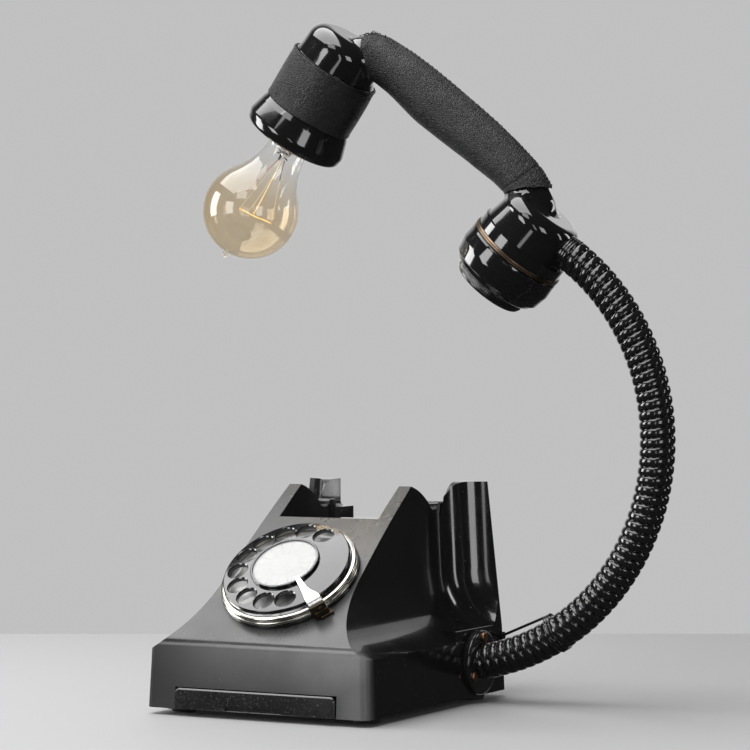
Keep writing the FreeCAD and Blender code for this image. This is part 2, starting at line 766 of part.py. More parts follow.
def finger_stop():
    """A bright hook that reaches in over the wheel and is fixed to the case's flange."""
    outline = [(22.0, -2.0), (36.0, -3.4), (43.0, -3.4), (43.0, 3.4), (36.0, 3.4), (22.0, 2.0)]
    plan = wire(outline, lambda x, y: Vector(x, y, -20))
    strip = Part.Face(plan).extrude(Vector(0, 0, 30))
    side = wire(
        [
            (22.0, 0.7),
            (21.0, 1.5),
            (21.4, 2.4),
            (39.0, 2.2),
            (43.0, -1.8, 41.9, 1.0),
            (43.0, -8.4),
            (41.8, -8.4),
            (41.8, -1.9),
            (39.0, 0.9, 41.0, 0.1),
        ],
        lambda x, z: Vector(x, -10, z),
    )
    bent = Part.Face(side).extrude(Vector(0, 20, 0)).common(strip)
    foot = block(39.0, 44.6, -4.2, 4.2, DIAL_SEAT + 2.0, DIAL_SEAT + 3.2)
    foot = foot.cut(Part.makeCylinder(41.3, 10, Vector(0, 0, -12)))
    heel = block(41.8, 44.6, -4.2, 4.2, DIAL_SEAT + 1.4, -6.4)
    whole = fused([bent, foot, heel])
    whole = whole.cut(Part.makeCylinder(41.3, 7.2, Vector(0, 0, -11)))
    whole.rotate(Vector(0, 0, 0), Vector(0, 0, 1), STOP_ANGLE)
    return placed(whole, DIAL_PLACE)


# ---------------------------------------------------------------- arm
def arm_mount_block():
    """A block let into the right rear ledge, which takes the load of the arm."""
    raw = block(44.0, LEDGE_HALF_WIDTH, 22.7, 83.0, 30.0, 43.9)
    top = edges_where(raw, lambda b, e: b.ZMin > 43 and b.XMin > 60)
    filling = raw.makeFillet(1.2, top).common(side_scoop(0.0))
    solid = max(filling.Solids, key=lambda s: s.Volume)
    top_screw = Part.makeCylinder(1.4, 16, Vector(0, 0, -16))
    return solid.cut(placed(top_screw, flange_screw_place(90.0)))


def arm_flange(outer, mount):
    """A round cast flange with a collar for the arm, scribed to the body's side."""
    disc = turned(
        [
            (-6.0, CORE_RADIUS),
            (-6.0, FLANGE_RADIUS),
            (2.4, FLANGE_RADIUS),
            (3.6, FLANGE_RADIUS - 1.6, 3.2, FLANGE_RADIUS - 0.4),
            (3.6, CORE_RADIUS),
        ]
    )
    place = Placement(Vector(71.0, ARM_Y, FLANGE_Z), Rotation(Vector(0, 0, 1), Vector(1, 0, 0)))
    flange = placed(disc, place)
    flange = flange.cut(arm_tube(CORE_RADIUS, 0, ARM_START - 5, ARM_START + 5))
    flange = flange.cut(arm_tube(CONDUIT_RADIUS + 0.05, 0, ARM_START + 0.4, ARM_START + 6))
    flange = flange.cut(outer).cut(mount)
    for angle in FLANGE_SCREWS:
        hole = Part.makeCylinder(1.5, 20, Vector(0, 0, -16))
        flange = flange.cut(placed(hole, flange_screw_place(angle)))
    return max(flange.Solids, key=lambda s: s.Volume)


def flange_screws():
    screws = []
    for angle in FLANGE_SCREWS:
        screws.append(placed(slotted_screw(1.4, 3.0, 1.6, 9.0), flange_screw_place(angle)))
    return Part.makeCompound(screws)


def arm_core():
    return arm_tube(CORE_RADIUS, CORE_RADIUS - 1.5, ARM_START - 2.6, 57.0)


def arm_conduit():
    return arm_tube(CONDUIT_RADIUS, CORE_RADIUS + 0.3, ARM_START + 0.4, ARM_END)


def arm_top_bush():
    """The bush that clamps the conduit's upper end against the transmitter's back."""
    return arm_tube(CONDUIT_RADIUS - 0.9, CORE_RADIUS, ARM_END + 0.05, 56.4)


def stay_clip():
    clip = arm_tube(CONDUIT_RADIUS + 1.3, CONDUIT_RADIUS + 0.05, CLIP_ANGLE - 1.1, CLIP_ANGLE + 1.1)
    lug_out = arm_point(CLIP_ANGLE, STAY_LUG)
    lug_in = arm_point(CLIP_ANGLE, ARM_RADIUS - CONDUIT_RADIUS - 0.6)
    lug = rod(2.4, lug_in, lug_out)
    return fused([clip, lug])


def stay_rod():
    """A thin straight stay from the body's rear corner to the clip on the conduit."""
    top = arm_point(CLIP_ANGLE, STAY_LUG)
    lug = rod(2.4, arm_point(CLIP_ANGLE, ARM_RADIUS - CONDUIT_RADIUS - 0.6), top)
    eye = Part.makeSphere(2.0, top)
    foot = rod(2.6, STAY_FOOT, STAY_FOOT + Vector(1.2, 0, 0))
    stay = rod(0.9, STAY_FOOT + Vector(0.6, 0, 0), top)
    return fused([stay.cut(lug), foot, eye.cut(lug)])


# ---------------------------------------------------------------- handset
def grip_section(section, extra):
    x, z, angle, height, thick = section
    turn = math.radians(angle)
    along = Vector(math.cos(turn), 0, math.sin(turn))
    up = Vector(-math.sin(turn), 0, math.cos(turn))
    ellipse = Part.Ellipse(Vector(0, 0, 0), height + extra, thick + extra)
    loop = Part.Wire(ellipse.toShape())
    loop.Placement = Placement(in_arm_plane(x, z), Rotation(up, Vector(0, 1, 0), along, "ZXY"))
    return loop


def grip_form(extra):
    return Part.makeLoft([grip_section(s, extra) for s in GRIP_SECTIONS], True, False)


def receiver_cup():
    cup = turned(
        [
            (-21.0, 0.0),
            (-21.0, 13.5),
            (-10.5, 25.0, -18.2, 21.6),
            (-0.2, 25.9),
            (-0.2, 26.6),
            (33.0, 26.6),
            (33.0, 0.0),
        ]
    )
    return placed(cup, RECEIVER_PLACE)


def transmitter_cup():
    cup = turned(
        [
            (-30.5, 0.0),
            (-30.5, 16.0),
            (-21.0, 25.2, -28.2, 22.6),
            (-8.8, 27.5),
            (-8.2, 28.9),
            (-1.6, 28.9),
            (-1.6, 0.0),
        ]
    )
    return placed(cup, TRANSMITTER_PLACE)


def flex_path():
    """The lamp flex: a straight run in the base, the arm's curve, then the grip."""
    start = arm_point(ARM_START - 3.8)
    back = arm_direction(ARM_START - 3.8).multiply(-24.0)
    middle = arm_point((ARM_START + 56.5) / 2)
    end = arm_point(56.5)
    edges = [
        Part.LineSegment(start + back, start).toShape(),
        Part.Arc(start, middle, end).toShape(),
    ]
    corners = [
        end + arm_direction(56.5).multiply(21.0),
        in_arm_plane(103.0, 302.0),
        in_arm_plane(64.0, 338.5),
        in_arm_plane(12.0, 379.0),
        in_arm_plane(-17.5, 389.2),
    ]
    last = RECEIVER_PLACE.multVec(Vector(0, 0, 14.0))
    here = end
    for index, corner in enumerate(corners):
        following = corners[index + 1] if index + 1 < len(corners) else last
        before = corner - (corners[index - 1] if index else end)
        after = following - corner
        turn = before.getAngle(after)
        reach = 0.45 * min(before.Length, after.Length)
        radius = reach / math.tan(turn / 2)
        first = corner - before.normalize().multiply(reach)
        second = corner + after.normalize().multiply(reach)
        inward = (first + second - corner - corner).normalize()
        bend = corner + inward.multiply(radius / math.cos(turn / 2) - radius)
        print("flex bend radius", round(radius, 1))
        edges.append(Part.LineSegment(here, first).toShape())
        edges.append(Part.Arc(first, bend, second).toShape())
        here = second
    edges.append(Part.LineSegment(here, last).toShape())
    return Part.Wire(edges)


def swept(path, radius):
    start = path.Vertexes[0].Point
    tangent = path.Edges[0].tangentAt(path.Edges[0].FirstParameter)
    ring = Part.Wire(Part.makeCircle(radius, start, tangent))
    return path.makePipeShell([ring], True, False)


def handset_form():
    """Receiver cup, grip and transmitter cup in one, with a fillet where they meet."""
    form = fused([receiver_cup(), grip_form(0.0), transmitter_cup()])
    junctions = []
    for edge in form.Edges:
        kinds = {face.Surface.TypeId for face in form.ancestorsOfType(edge, Part.Face)}
        if len(kinds) == 2 and "Part::GeomBSplineSurface" in kinds:
            junctions.append(edge)
    return form.makeFillet(NECK_FILLET, junctions)


def handset_body(form, path):
    """The moulding, hollowed for the lampholder and the capsule and bored for the flex."""
    receiver_room = turned([(-16.0, 0), (-16.0, 12.6), (-9.5, 21.6), (1.0, 23.6), (34.0, 23.6), (34.0, 0)])
    transmitter_room = turned([(-27.0, 0), (-27.0, 14.0), (-20.0, 21.8), (-8.0, 24.6), (0.0, 24.6), (0.0, 0)])
    form = form.cut(placed(receiver_room, RECEIVER_PLACE))
    form = form.cut(placed(transmitter_room, TRANSMITTER_PLACE))
    form = form.cut(arm_tube(CORE_RADIUS + 0.1, 0, 50.0, 60.0))
    form = form.cut(arm_tube(CONDUIT_RADIUS - 0.8, 0, 50.0, 56.5))
    form = form.cut(swept(Part.Wire(path.Edges[2:]), FLEX_RADIUS + 1.2))
    return max(form.Solids, key=lambda s: s.Volume)


def grip_leather(form):
    """The sewn leather sleeve round the grip."""
    sleeve = grip_form(LEATHER).cut(form)
    for x, z, angle, side in ((-1.0, 386.0, -8.0, -1), (102.8, 301.3, -81.0, 1)):
        turn = Rotation(Vector(0, -1, 0), angle)
        cutter = block(0, 60, -40, 40, -60, 60) if side > 0 else block(-60, 0, -40, 40, -60, 60)
        sleeve = sleeve.cut(placed(cutter, Placement(in_arm_plane(x, z), turn)))
    return max(sleeve.Solids, key=lambda s: s.Volume)


def receiver_band():
    band = hollow(27.9, 26.6, 0.0, 32.8)
    sleeve = placed(band, RECEIVER_PLACE).cut(grip_form(0.1))
    return max(sleeve.Solids, key=lambda s: s.Volume)


def ear_cap():
    """The flared bakelite cap, opened in the middle for the lamp."""
    cap = turned(
        [
            (33.1, 23.8),
            (33.1, 27.6),
            (34.2, 28.6, 33.4, 28.3),
            (47.0, 32.6, 39.6, 30.0),
            (53.0, 28.6, 51.6, 31.6),
            (53.4, 19.2),
            (49.6, 19.2),
            (49.6, 28.4),
            (46.0, 28.4),
            (37.0, 25.2),
            (37.0, 23.8),
        ]
    )
    return placed(cap, RECEIVER_PLACE)


def lampholder_body():
    """Moulded holder with a closed back that the flex enters."""
    body = turned(
        [
            (14.5, 3.0),
            (14.5, 8.0),
            (19.0, 17.4, 16.2, 13.6),
            (49.4, 17.4),
            (49.4, 14.9),
            (24.0, 14.9),
            (24.0, 3.0),
        ]
    )
    return placed(body, RECEIVER_PLACE)


def lampholder_shell():
    shell = turned(
        [
            (24.1, 9.0),
            (24.1, 14.8),
            (48.6, 14.8),
            (48.6, 14.0),
            (25.0, 14.0),
            (25.0, 9.0),
        ]
    )
    return placed(shell, RECEIVER_PLACE)


def lampholder_contact():
    tongue = turned(
        [
            (24.1, 3.1),
            (24.1, 5.0),
            (27.2, 4.0),
            (27.2, 0.0),
            (26.4, 0.0),
            (26.4, 3.1),
        ]
    )
    return placed(tongue, RECEIVER_PLACE)


def lampholder_ring():
    """The threaded ring that nips the holder to the cap."""
    ring = turned([(44.2, 17.5), (44.2, 25.0), (46.0, 27.0), (49.5, 27.0), (49.5, 17.5)])
    return placed(ring, RECEIVER_PLACE)


def transmitter_collar():
    ring = turned(
        [
            (-1.5, 24.6),
            (-1.5, 29.2),
            (0.0, 29.9, -1.1, 29.7),
            (1.5, 29.2, 1.1, 29.7),
            (1.5, 24.6),
        ]
    )
    return placed(ring, TRANSMITTER_PLACE)


def mouthpiece_cap():
    cap = turned(
        [
            (1.6, 25.2),
            (1.6, 29.2),
            (3.0, 30.0, 2.0, 29.8),
            (11.5, 30.5),
            (21.6, 26.4, 18.6, 29.4),
            (22.6, 24.0, 22.4, 25.4),
            (22.6, 22.4),
            (18.0, 22.4),
            (18.0, 25.2),
        ]
    )
    return placed(cap, TRANSMITTER_PLACE)


def mouthpiece_insert():
    """The stepped disc in the mouth of the cap, with its ring of speech holes."""
    disc = turned(
        [
            (15.0, 0.0),
            (15.0, 22.2),
            (27.4, 22.2),
            (29.0, 20.6, 28.6, 21.8),
            (29.0, 17.0),
            (26.2, 15.6),
            (26.2, 0.0),
        ]
    )
    for index in range(6):
        hole = Part.makeCylinder(1.6, 20, Vector(8.5, 0, 10))
        hole.rotate(Vector(0, 0, 0), Vector(0, 0, 1), 60 * index)
        disc = disc.cut(hole)
    disc = disc.cut(Part.makeCylinder(19.0, 5.0, Vector(0, 0, 14.0)))
    return placed(disc, TRANSMITTER_PLACE)


def transmitter_capsule():
    """The capsule left in place behind the mouthpiece."""
    body = turned([(2.0, 0), (2.0, 15.0), (8.0, 22.0), (14.8, 22.0), (14.8, 0)])
    rim = edges_where(body, lambda b, e: b.XLength > 40 and b.ZMin > 14)
    return placed(body.makeChamfer(0.8, rim), TRANSMITTER_PLACE)


# ---------------------------------------------------------------- bulb
def bulb_profile(inset):
    """Half outline of the glass: a neck that swells smoothly into a ball."""
    radius = BULB_RADIUS - inset
    join = math.radians(128.0)
    middle = math.radians(64.0)
    neck = 12.6 - inset
    far = BULB_CENTRE + math.sqrt(radius * radius - POLE * POLE)
    return [
        (50.0, neck),
        (66.0, neck + 1.6, 58.0, neck + 0.3),
        (
            BULB_CENTRE + radius * math.cos(join),
            radius * math.sin(join),
            76.5,
            neck + 5.0,
        ),
        (
            far,
            POLE,
            BULB_CENTRE + radius * math.cos(middle),
            radius * math.sin(middle),
        ),
        (far, 0.0),
    ]


def bulb_glass():
    outer = turned([(50.0, 0.0)] + bulb_profile(0.0))
    inner = turned([(50.0, 0.0)] + bulb_profile(0.8))
    tip = turned([(133.6, 0), (133.6, 2.6), (137.0, 1.2, 135.8, 1.5), (138.0, POLE), (138.0, 0.0)])
    glass = outer.cut(inner).fuse(tip)
    return placed(glass, RECEIVER_PLACE)


def bulb_cap():
    """The brass screw cap, with its rolled thread as rounded rings."""
    points = [(29.5, 6.2), (29.5, 10.5), (31.5, 12.6)]
    step = 3.63
    for index in range(4):
        low = 31.5 + step * index
        points.append((low + step, 12.6, low + step / 2, 13.4))
    points += [(49.9, 12.6), (49.9, 11.8), (32.0, 11.8), (30.4, 6.2)]
    return placed(turned(points), RECEIVER_PLACE)


def bulb_contact():
    """Black glass and solder button at the foot of the cap."""
    foot = turned([(27.4, 0), (27.6, 2.2), (28.4, 4.6), (29.4, 6.1), (30.2, 6.1), (30.2, 0)])
    return placed(foot, RECEIVER_PLACE)


def bulb_stem():
    """The pressed glass stem, with the rod that carries the supports."""
    stem = turned(
        [
            (50.1, 0.0),
            (50.1, 11.4),
            (51.2, 11.4),
            (60.0, 3.6, 54.0, 6.0),
            (70.0, 2.6),
            (92.0, 1.2),
            (94.0, POLE),
            (94.0, 0.0),
        ]
    )
    return placed(stem, RECEIVER_PLACE)


def bulb_filament():
    """Support wires spread from the stem, and the filament strung between them."""
    level = 104.0
    wires = []
    tips = []
    for index in range(4):
        turn = math.radians(20 + 90 * index)
        tip = Vector(11.0 * math.cos(turn), 11.0 * math.sin(turn), level)
        root = Vector(1.7 * math.cos(turn), 1.7 * math.sin(turn), 88.0)
        wires.append(rod(0.3, root, tip))
        wires.append(Part.makeSphere(0.5, tip))
        tips.append(tip)
    for first, second in zip(tips, tips[1:]):
        wires.append(rod(0.35, first, second))
    return placed(fused(wires), RECEIVER_PLACE)


# ---------------------------------------------------------------- saving
def lamp_parts():
    outer = body_form(0.0)
    form = handset_form()
    path = flex_path()
    mount = arm_mount_block()
    return {
        "body_shell": body_shell(outer),
        "base_plate": base_plate(),
        "feet": feet(),
        "foot_screws": foot_screws(),
        "case_screws": case_screws(),
        "cord_gland": cord_gland(),
        "terminal_block": terminal_block(),
        "terminal_screws": terminal_screws(),
        "drawer_tray": drawer_tray(),
        "drawer_frame": drawer_frame(),
        "plunger_left": plunger(-1),
        "plunger_right": plunger(1),
        "plunger_yoke": plunger_yoke(),
        "plunger_springs": plunger_springs(),
        "switch_bracket": switch_bracket(),
        "contact_springs": contact_springs(),
        "dial_case": dial_case(),
        "dial_screws": dial_screws(),
        "dial_bezel": dial_bezel(),
        "number_plate": number_plate(),
        "finger_wheel": finger_wheel(),
        "label_ring": label_ring(),
        "label_card": label_card(),
        "label_window": label_window(),
        "dial_shaft": dial_shaft(),
        "main_gear": main_gear(),
        "governor": governor(),
        "dial_frame": dial_frame(),
        "impulse_springs": impulse_springs(),
        "mainspring": mainspring(),
        "finger_stop": finger_stop(),
        "arm_mount_block": mount,
        "arm_flange": arm_flange(outer, mount),
        "flange_screws": flange_screws(),
        "arm_core": arm_core(),
        "arm_conduit": arm_conduit(),
        "arm_top_bush": arm_top_bush(),
        "lamp_flex": swept(path, FLEX_RADIUS),
        "stay_clip": stay_clip(),
        "stay_rod": stay_rod(),
        "handset_body": handset_body(form, path),
        "grip_leather": grip_leather(form),
        "receiver_band": receiver_band(),
        "ear_cap": ear_cap(),
        "lampholder_body": lampholder_body(),
        "lampholder_shell": lampholder_shell(),
        "lampholder_contact": lampholder_contact(),
        "lampholder_ring": lampholder_ring(),
        "transmitter_collar": transmitter_collar(),
        "mouthpiece_cap": mouthpiece_cap(),
        "mouthpiece_insert": mouthpiece_insert(),
        "transmitter_capsule": transmitter_capsule(),
        "bulb_glass": bulb_glass(),
        "bulb_cap": bulb_cap(),
        "bulb_contact": bulb_contact(),
        "bulb_stem": bulb_stem(),
        "bulb_filament": bulb_filament(),
    }


os.makedirs("parts", exist_ok=True)
for name, shape in lamp_parts().items():
    moved = shape.translated(Vector(LAMP_SHIFT, 0, 0))
    print(name, len(moved.Solids), round(moved.Volume), moved.isValid())
    moved.exportStep(f"parts/{name}.step")
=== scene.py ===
import json
import random
from math import cos, exp, pi, radians, remainder, sin, tan

import bmesh
import bpy
from mathutils import Matrix, Quaternion, Vector, noise

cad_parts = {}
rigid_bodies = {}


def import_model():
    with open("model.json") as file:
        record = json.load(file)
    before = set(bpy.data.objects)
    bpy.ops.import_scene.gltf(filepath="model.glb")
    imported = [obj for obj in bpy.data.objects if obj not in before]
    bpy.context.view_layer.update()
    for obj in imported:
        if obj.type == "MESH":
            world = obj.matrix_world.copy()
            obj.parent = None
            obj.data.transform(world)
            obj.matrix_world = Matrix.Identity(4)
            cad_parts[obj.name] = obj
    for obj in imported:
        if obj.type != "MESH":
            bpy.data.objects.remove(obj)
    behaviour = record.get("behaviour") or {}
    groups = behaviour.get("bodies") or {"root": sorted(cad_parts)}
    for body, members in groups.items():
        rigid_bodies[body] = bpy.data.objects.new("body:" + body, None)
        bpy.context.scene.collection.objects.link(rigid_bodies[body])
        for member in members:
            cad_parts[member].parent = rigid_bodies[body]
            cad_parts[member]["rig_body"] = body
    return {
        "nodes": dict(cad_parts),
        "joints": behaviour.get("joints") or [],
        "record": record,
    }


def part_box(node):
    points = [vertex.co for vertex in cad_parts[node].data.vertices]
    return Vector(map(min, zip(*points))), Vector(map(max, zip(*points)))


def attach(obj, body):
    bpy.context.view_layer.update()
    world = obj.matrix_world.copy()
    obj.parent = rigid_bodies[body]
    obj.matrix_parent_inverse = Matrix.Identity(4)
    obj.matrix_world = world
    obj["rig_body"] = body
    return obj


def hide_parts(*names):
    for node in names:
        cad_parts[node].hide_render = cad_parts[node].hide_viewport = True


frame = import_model()
bpy.context.view_layer.update()

# A black desk telephone made over into a table lamp.  Everything is in metres, in the
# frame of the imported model; sizes are written in millimetres times MM.

MM = 0.001
JOINTS = {joint["name"]: joint for joint in frame["joints"]}
NODES = frame["nodes"]
SLOTS = {part["node"]: part["material_slot"] for part in frame["record"]["subparts"]}
SCENE = bpy.context.scene
SIDE = Vector((0, 1, 0))      # across the arm's plane

BODY_LOW, BODY_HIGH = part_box("body_shell")
PHONE_X = (BODY_LOW.x + BODY_HIGH.x) / 2
APRON_FRONT = BODY_LOW.y

DIAL_CENTRE = Vector(JOINTS["dial_turn"]["pos_m"])
DIAL_AXIS = -Vector(JOINTS["dial_turn"]["axis"]).normalized()
RECEIVER_POINT = Vector(JOINTS["bulb_turn"]["pos_m"])
RECEIVER_AXIS = Vector(JOINTS["bulb_turn"]["axis"]).normalized()
ARM_Y = RECEIVER_POINT.y
ARM_CENTRE = Vector((PHONE_X + 52.0 * MM, ARM_Y, 155.4 * MM))
ARM_RADIUS = 133.0 * MM
ARM_START = radians(-80.8)
ARM_END = radians(53.0)

CAMERA_AZIMUTH = radians(28.08)
CAMERA_PITCH = radians(-0.087)
CAMERA_PLACE = Vector((PHONE_X + 0.80187, -1.4489, 0.19637))
CAMERA_LENS = 135.69
CAMERA_SHIFT = -0.0021
LIT_WALL = (-0.52, 0.84, 0.12)         # the way to the studio's one lit wall

BAKELITE_BLACK = (0.008, 0.008, 0.0085)
COAT = 0.6                              # polish over the bakelite
APRON_TOP = (0.0450, 0.0385)            # where the worn apron, with its painted sheen, fades out and begins
SLOPE_NORMAL = (0.0, -0.618, 0.786)     # the way the case's slope faces
SPECIAL_LOOKS = {
    "body_shell": "bakelite_case",
    "label_ring": "bakelite",
    "flange_screws": "screw_copper",
}
random.seed(7)


# ---- camera, floor, lights
def make_camera():
    camera = bpy.data.objects.new("camera", bpy.data.cameras.new("camera"))
    camera.data.lens = CAMERA_LENS
    camera.data.sensor_width = 36.0
    camera.data.shift_y = CAMERA_SHIFT
    camera.data.clip_start = 0.05
    camera.data.clip_end = 50.0
    forward = Vector((-sin(CAMERA_AZIMUTH), cos(CAMERA_AZIMUTH), tan(CAMERA_PITCH)))
    camera.location = CAMERA_PLACE
    camera.rotation_mode = "QUATERNION"
    camera.rotation_quaternion = forward.to_track_quat("-Z", "Y")
    SCENE.collection.objects.link(camera)
    SCENE.camera = camera
    SCENE.view_settings.view_transform = "Standard"


def softbox(name, place, target, size, radiance, spin=0.0):
    """A rectangular panel light of even brightness, seen only in reflections."""
    data = bpy.data.lights.new(name, "AREA")
    data.shape = "RECTANGLE"
    data.size, data.size_y = size
    data.energy = radiance * pi * size[0] * size[1]
    light = bpy.data.objects.new(name, data)
    light.location = place
    light.rotation_mode = "QUATERNION"
    turned = Quaternion((0, 0, 1), radians(spin))
    facing = (Vector(target) - Vector(place)).to_track_quat("-Z", "Y")
    light.rotation_quaternion = facing @ turned
    light.visible_camera = False
    SCENE.collection.objects.link(light)


def make_lights():
    aim = (PHONE_X / 2, 0, 0.2)
    softbox("left_window", (-1.30, -0.42, 0.55), aim, (0.50, 0.85), 8.5)
    softbox("front_window", (-0.62, -1.25, 0.42), aim, (0.46, 0.62), 5.5)
    softbox("key", (0.02, -1.20, 1.20), aim, (0.62, 0.55), 3.0)
    softbox("front_strip", (0.476, -1.346, 0.12), (0.02, 0.08, 0.10), (0.16, 0.55), 2.2)
    softbox("right_panel", (1.10, -0.95, 0.22), aim, (0.42, 0.60), 3.6)
    softbox("right_strip", (1.30, 0.30, 0.26), aim, (0.14, 0.60), 3.6)
    softbox("rear_strip", (0.95, 1.00, 0.62), aim, (0.20, 0.40), 4.0)
    softbox("rear_window", (0.07, 1.35, 0.80), aim, (0.60, 0.35), 0.5)
    softbox("ear_glint", (0.160, 0.513, 0.1035), (-0.082, 0.076, 0.124), (0.014, 0.015), 2.6)
    softbox("ceiling", (-0.390, -0.285, 1.30), (-0.390, -0.2851, 0.0), (1.35, 1.50), 4.2, 30.0)


def make_floor():
    half, thick = 0.46, 0.02
    mesh = bpy.data.meshes.new("floor")
    builder = bmesh.new()
    bmesh.ops.create_cube(builder, size=1.0)
    for vert in builder.verts:
        vert.co = Vector((vert.co.x * 2 * half, vert.co.y * 2 * half, (vert.co.z - 0.5) * thick))
    builder.to_mesh(mesh)
    builder.free()
    floor = bpy.data.objects.new("floor", mesh)
    floor.rotation_euler.z = CAMERA_AZIMUTH
    floor.visible_glossy = False
    SCENE.collection.objects.link(floor)
    mesh.materials.append(Shader("floor_paper", (0.42, 0.42, 0.425), 0.6).material)


def fill(tree, node, inputs):
    """Sets a node's inputs, by name or number, to values or to other nodes' outputs."""
    for key, value in inputs.items():
        if isinstance(value, bpy.types.NodeSocket):
            tree.links.new(value, node.inputs[key])
        else:
            node.inputs[key].default_value = value


def add_node(tree, kind, inputs=None, **settings):
    node = tree.nodes.new("ShaderNode" + kind)
    for key, value in settings.items():
        setattr(node, key, value)
    fill(tree, node, inputs or {})
    return node


def make_world():
    """A pale backdrop to look at, and a dark studio with one lit wall to reflect."""
    world = bpy.data.worlds.new("studio")
    SCENE.world = world
    world.use_nodes = True
    tree = world.node_tree
    tree.nodes.clear()
    direction = add_node(tree, "TexCoord").outputs["Generated"]
    towards = add_node(tree, "VectorMath", {0: direction, 1: LIT_WALL}, operation="DOT_PRODUCT")
    ramp = add_node(tree, "ValToRGB", {"Fac": towards.outputs["Value"]})
    for element, place, grey in zip(ramp.color_ramp.elements, (0.72, 0.90), (0.025, 0.75)):
        element.position = place
        element.color = (grey, grey, grey, 1)
    studio = add_node(tree, "Background", {"Color": ramp.outputs["Color"]})
    seen = add_node(tree, "Background", {"Color": (0.53, 0.53, 0.53, 1)})
    rays = add_node(tree, "LightPath").outputs
    either = {0: rays["Is Camera Ray"], 1: rays["Is Transmission Ray"]}
    straight = add_node(tree, "Math", either, operation="MAXIMUM")
    both = {0: straight.outputs[0], 1: studio.outputs[0], 2: seen.outputs[0]}
    mix = add_node(tree, "MixShader", both)
    add_node(tree, "OutputWorld", {"Surface": mix.outputs[0]})


# ---- materials
class Shader:
    """A Principled material, with short ways to add procedural detail."""

    def __init__(self, name, colour, roughness=0.5, **sockets):
        self.material = bpy.data.materials.new(name)
        self.material.use_nodes = True
        self.tree = self.material.node_tree
        self.bsdf = self.tree.nodes["Principled BSDF"]
        self.put({"Base Color": (*colour, 1), "Roughness": roughness})
        self.put({socket.replace("_", " "): value for socket, value in sockets.items()})
        self.place = self.node("TexCoord").outputs["Object"]
        self.normal = None

    def put(self, inputs):
        fill(self.tree, self.bsdf, inputs)

    def now(self, socket):
        """The output that feeds one of the surface's inputs so far."""
        return self.bsdf.inputs[socket].links[0].from_socket

    def node(self, kind, inputs=None, **settings):
        return add_node(self.tree, kind, inputs, **settings)

    def noise(self, scale, detail=3.0, rough=0.5, stretch=None):
        place = self.place
        if stretch:
            place = self.node("Mapping", {"Scale": stretch, "Vector": place}).outputs["Vector"]
        inputs = {"Scale": scale, "Detail": detail, "Roughness": rough, "Vector": place}
        return self.node("TexNoise", inputs).outputs["Fac"]

    def cell_edges(self, scale):
        inputs = {"Scale": scale, "Vector": self.place}
        return self.node("TexVoronoi", inputs, feature="DISTANCE_TO_EDGE").outputs["Distance"]

    def axis(self, index):
        return self.node("SeparateXYZ", {0: self.place}).outputs[index]

    def dot(self, vector, direction):
        inputs = {0: vector, 1: direction}
        return self.node("VectorMath", inputs, operation="DOT_PRODUCT").outputs["Value"]

    def along(self, direction, origin):
        """Distance in metres from origin along a direction."""
        shift = self.node("VectorMath", {0: self.place, 1: origin}, operation="SUBTRACT")
        return self.dot(shift.outputs[0], direction)

    def ranged(self, value, low, high, to_low=0.0, to_high=1.0):
        limits = {"From Min": low, "From Max": high, "To Min": to_low, "To Max": to_high}
        return self.node("MapRange", {**limits, "Value": value}).outputs["Result"]

    def patches(self, pattern, *limits):
        return self.ranged(self.noise(*pattern), *limits)

    def math(self, operation, first, second):
        return self.node("Math", {0: first, 1: second}, operation=operation).outputs[0]

    def times(self, first, second):
        return self.math("MULTIPLY", first, second)

    def blend(self, factor, first, second):
        pair = [(*one, 1) if isinstance(one, tuple) else one for one in (first, second)]
        inputs = {"Factor": factor, 6: pair[0], 7: pair[1]}
        return self.node("Mix", inputs, data_type="RGBA").outputs[2]

    def tint(self, factor, first, second):
        self.put({"Base Color": self.blend(factor, first, second)})

    def rough(self, source):
        self.put({"Roughness": source})

    def bump(self, height, distance, strength=1.0):
        inputs = {"Distance": distance, "Strength": strength, "Height": height}
        if self.normal is not None:
            inputs["Normal"] = self.normal
        self.normal = self.node("Bump", inputs).outputs["Normal"]
        self.put({"Normal": self.normal})


def bakelite(name, gloss=0.07, dust=0.35, wear=0.5):
    """Polished black phenolic: deep gloss, soft smears, fine scratches and dust."""
    coat = {"Coat_Weight": COAT, "Coat_Roughness": 0.03, "Coat_IOR": 1.5}
    shader = Shader(name, BAKELITE_BLACK, gloss, IOR=1.56, **coat)
    smears = shader.patches((26.0, 5.0, 0.62), 0.42, 0.68, gloss, gloss + 0.10 * wear)
    scratches = shader.noise(420.0, 2.0, 0.6, stretch=(1.0, 0.06, 0.5))
    specks = shader.patches((900.0, 1.0, 0.4), 0.76, 0.79)
    patches = shader.patches((22.0, 2.0), 0.42, 0.6)
    dusty = shader.times(specks, shader.times(patches, dust))
    shader.tint(dusty, BAKELITE_BLACK, (0.30, 0.30, 0.29))
    shader.rough(shader.math("ADD", smears, shader.times(dusty, 0.5)))
    shader.bump(scratches, 0.00002, 0.10 * wear)
    shader.bump(shader.noise(60.0, 2.0), 0.0002, 0.05)
    return shader


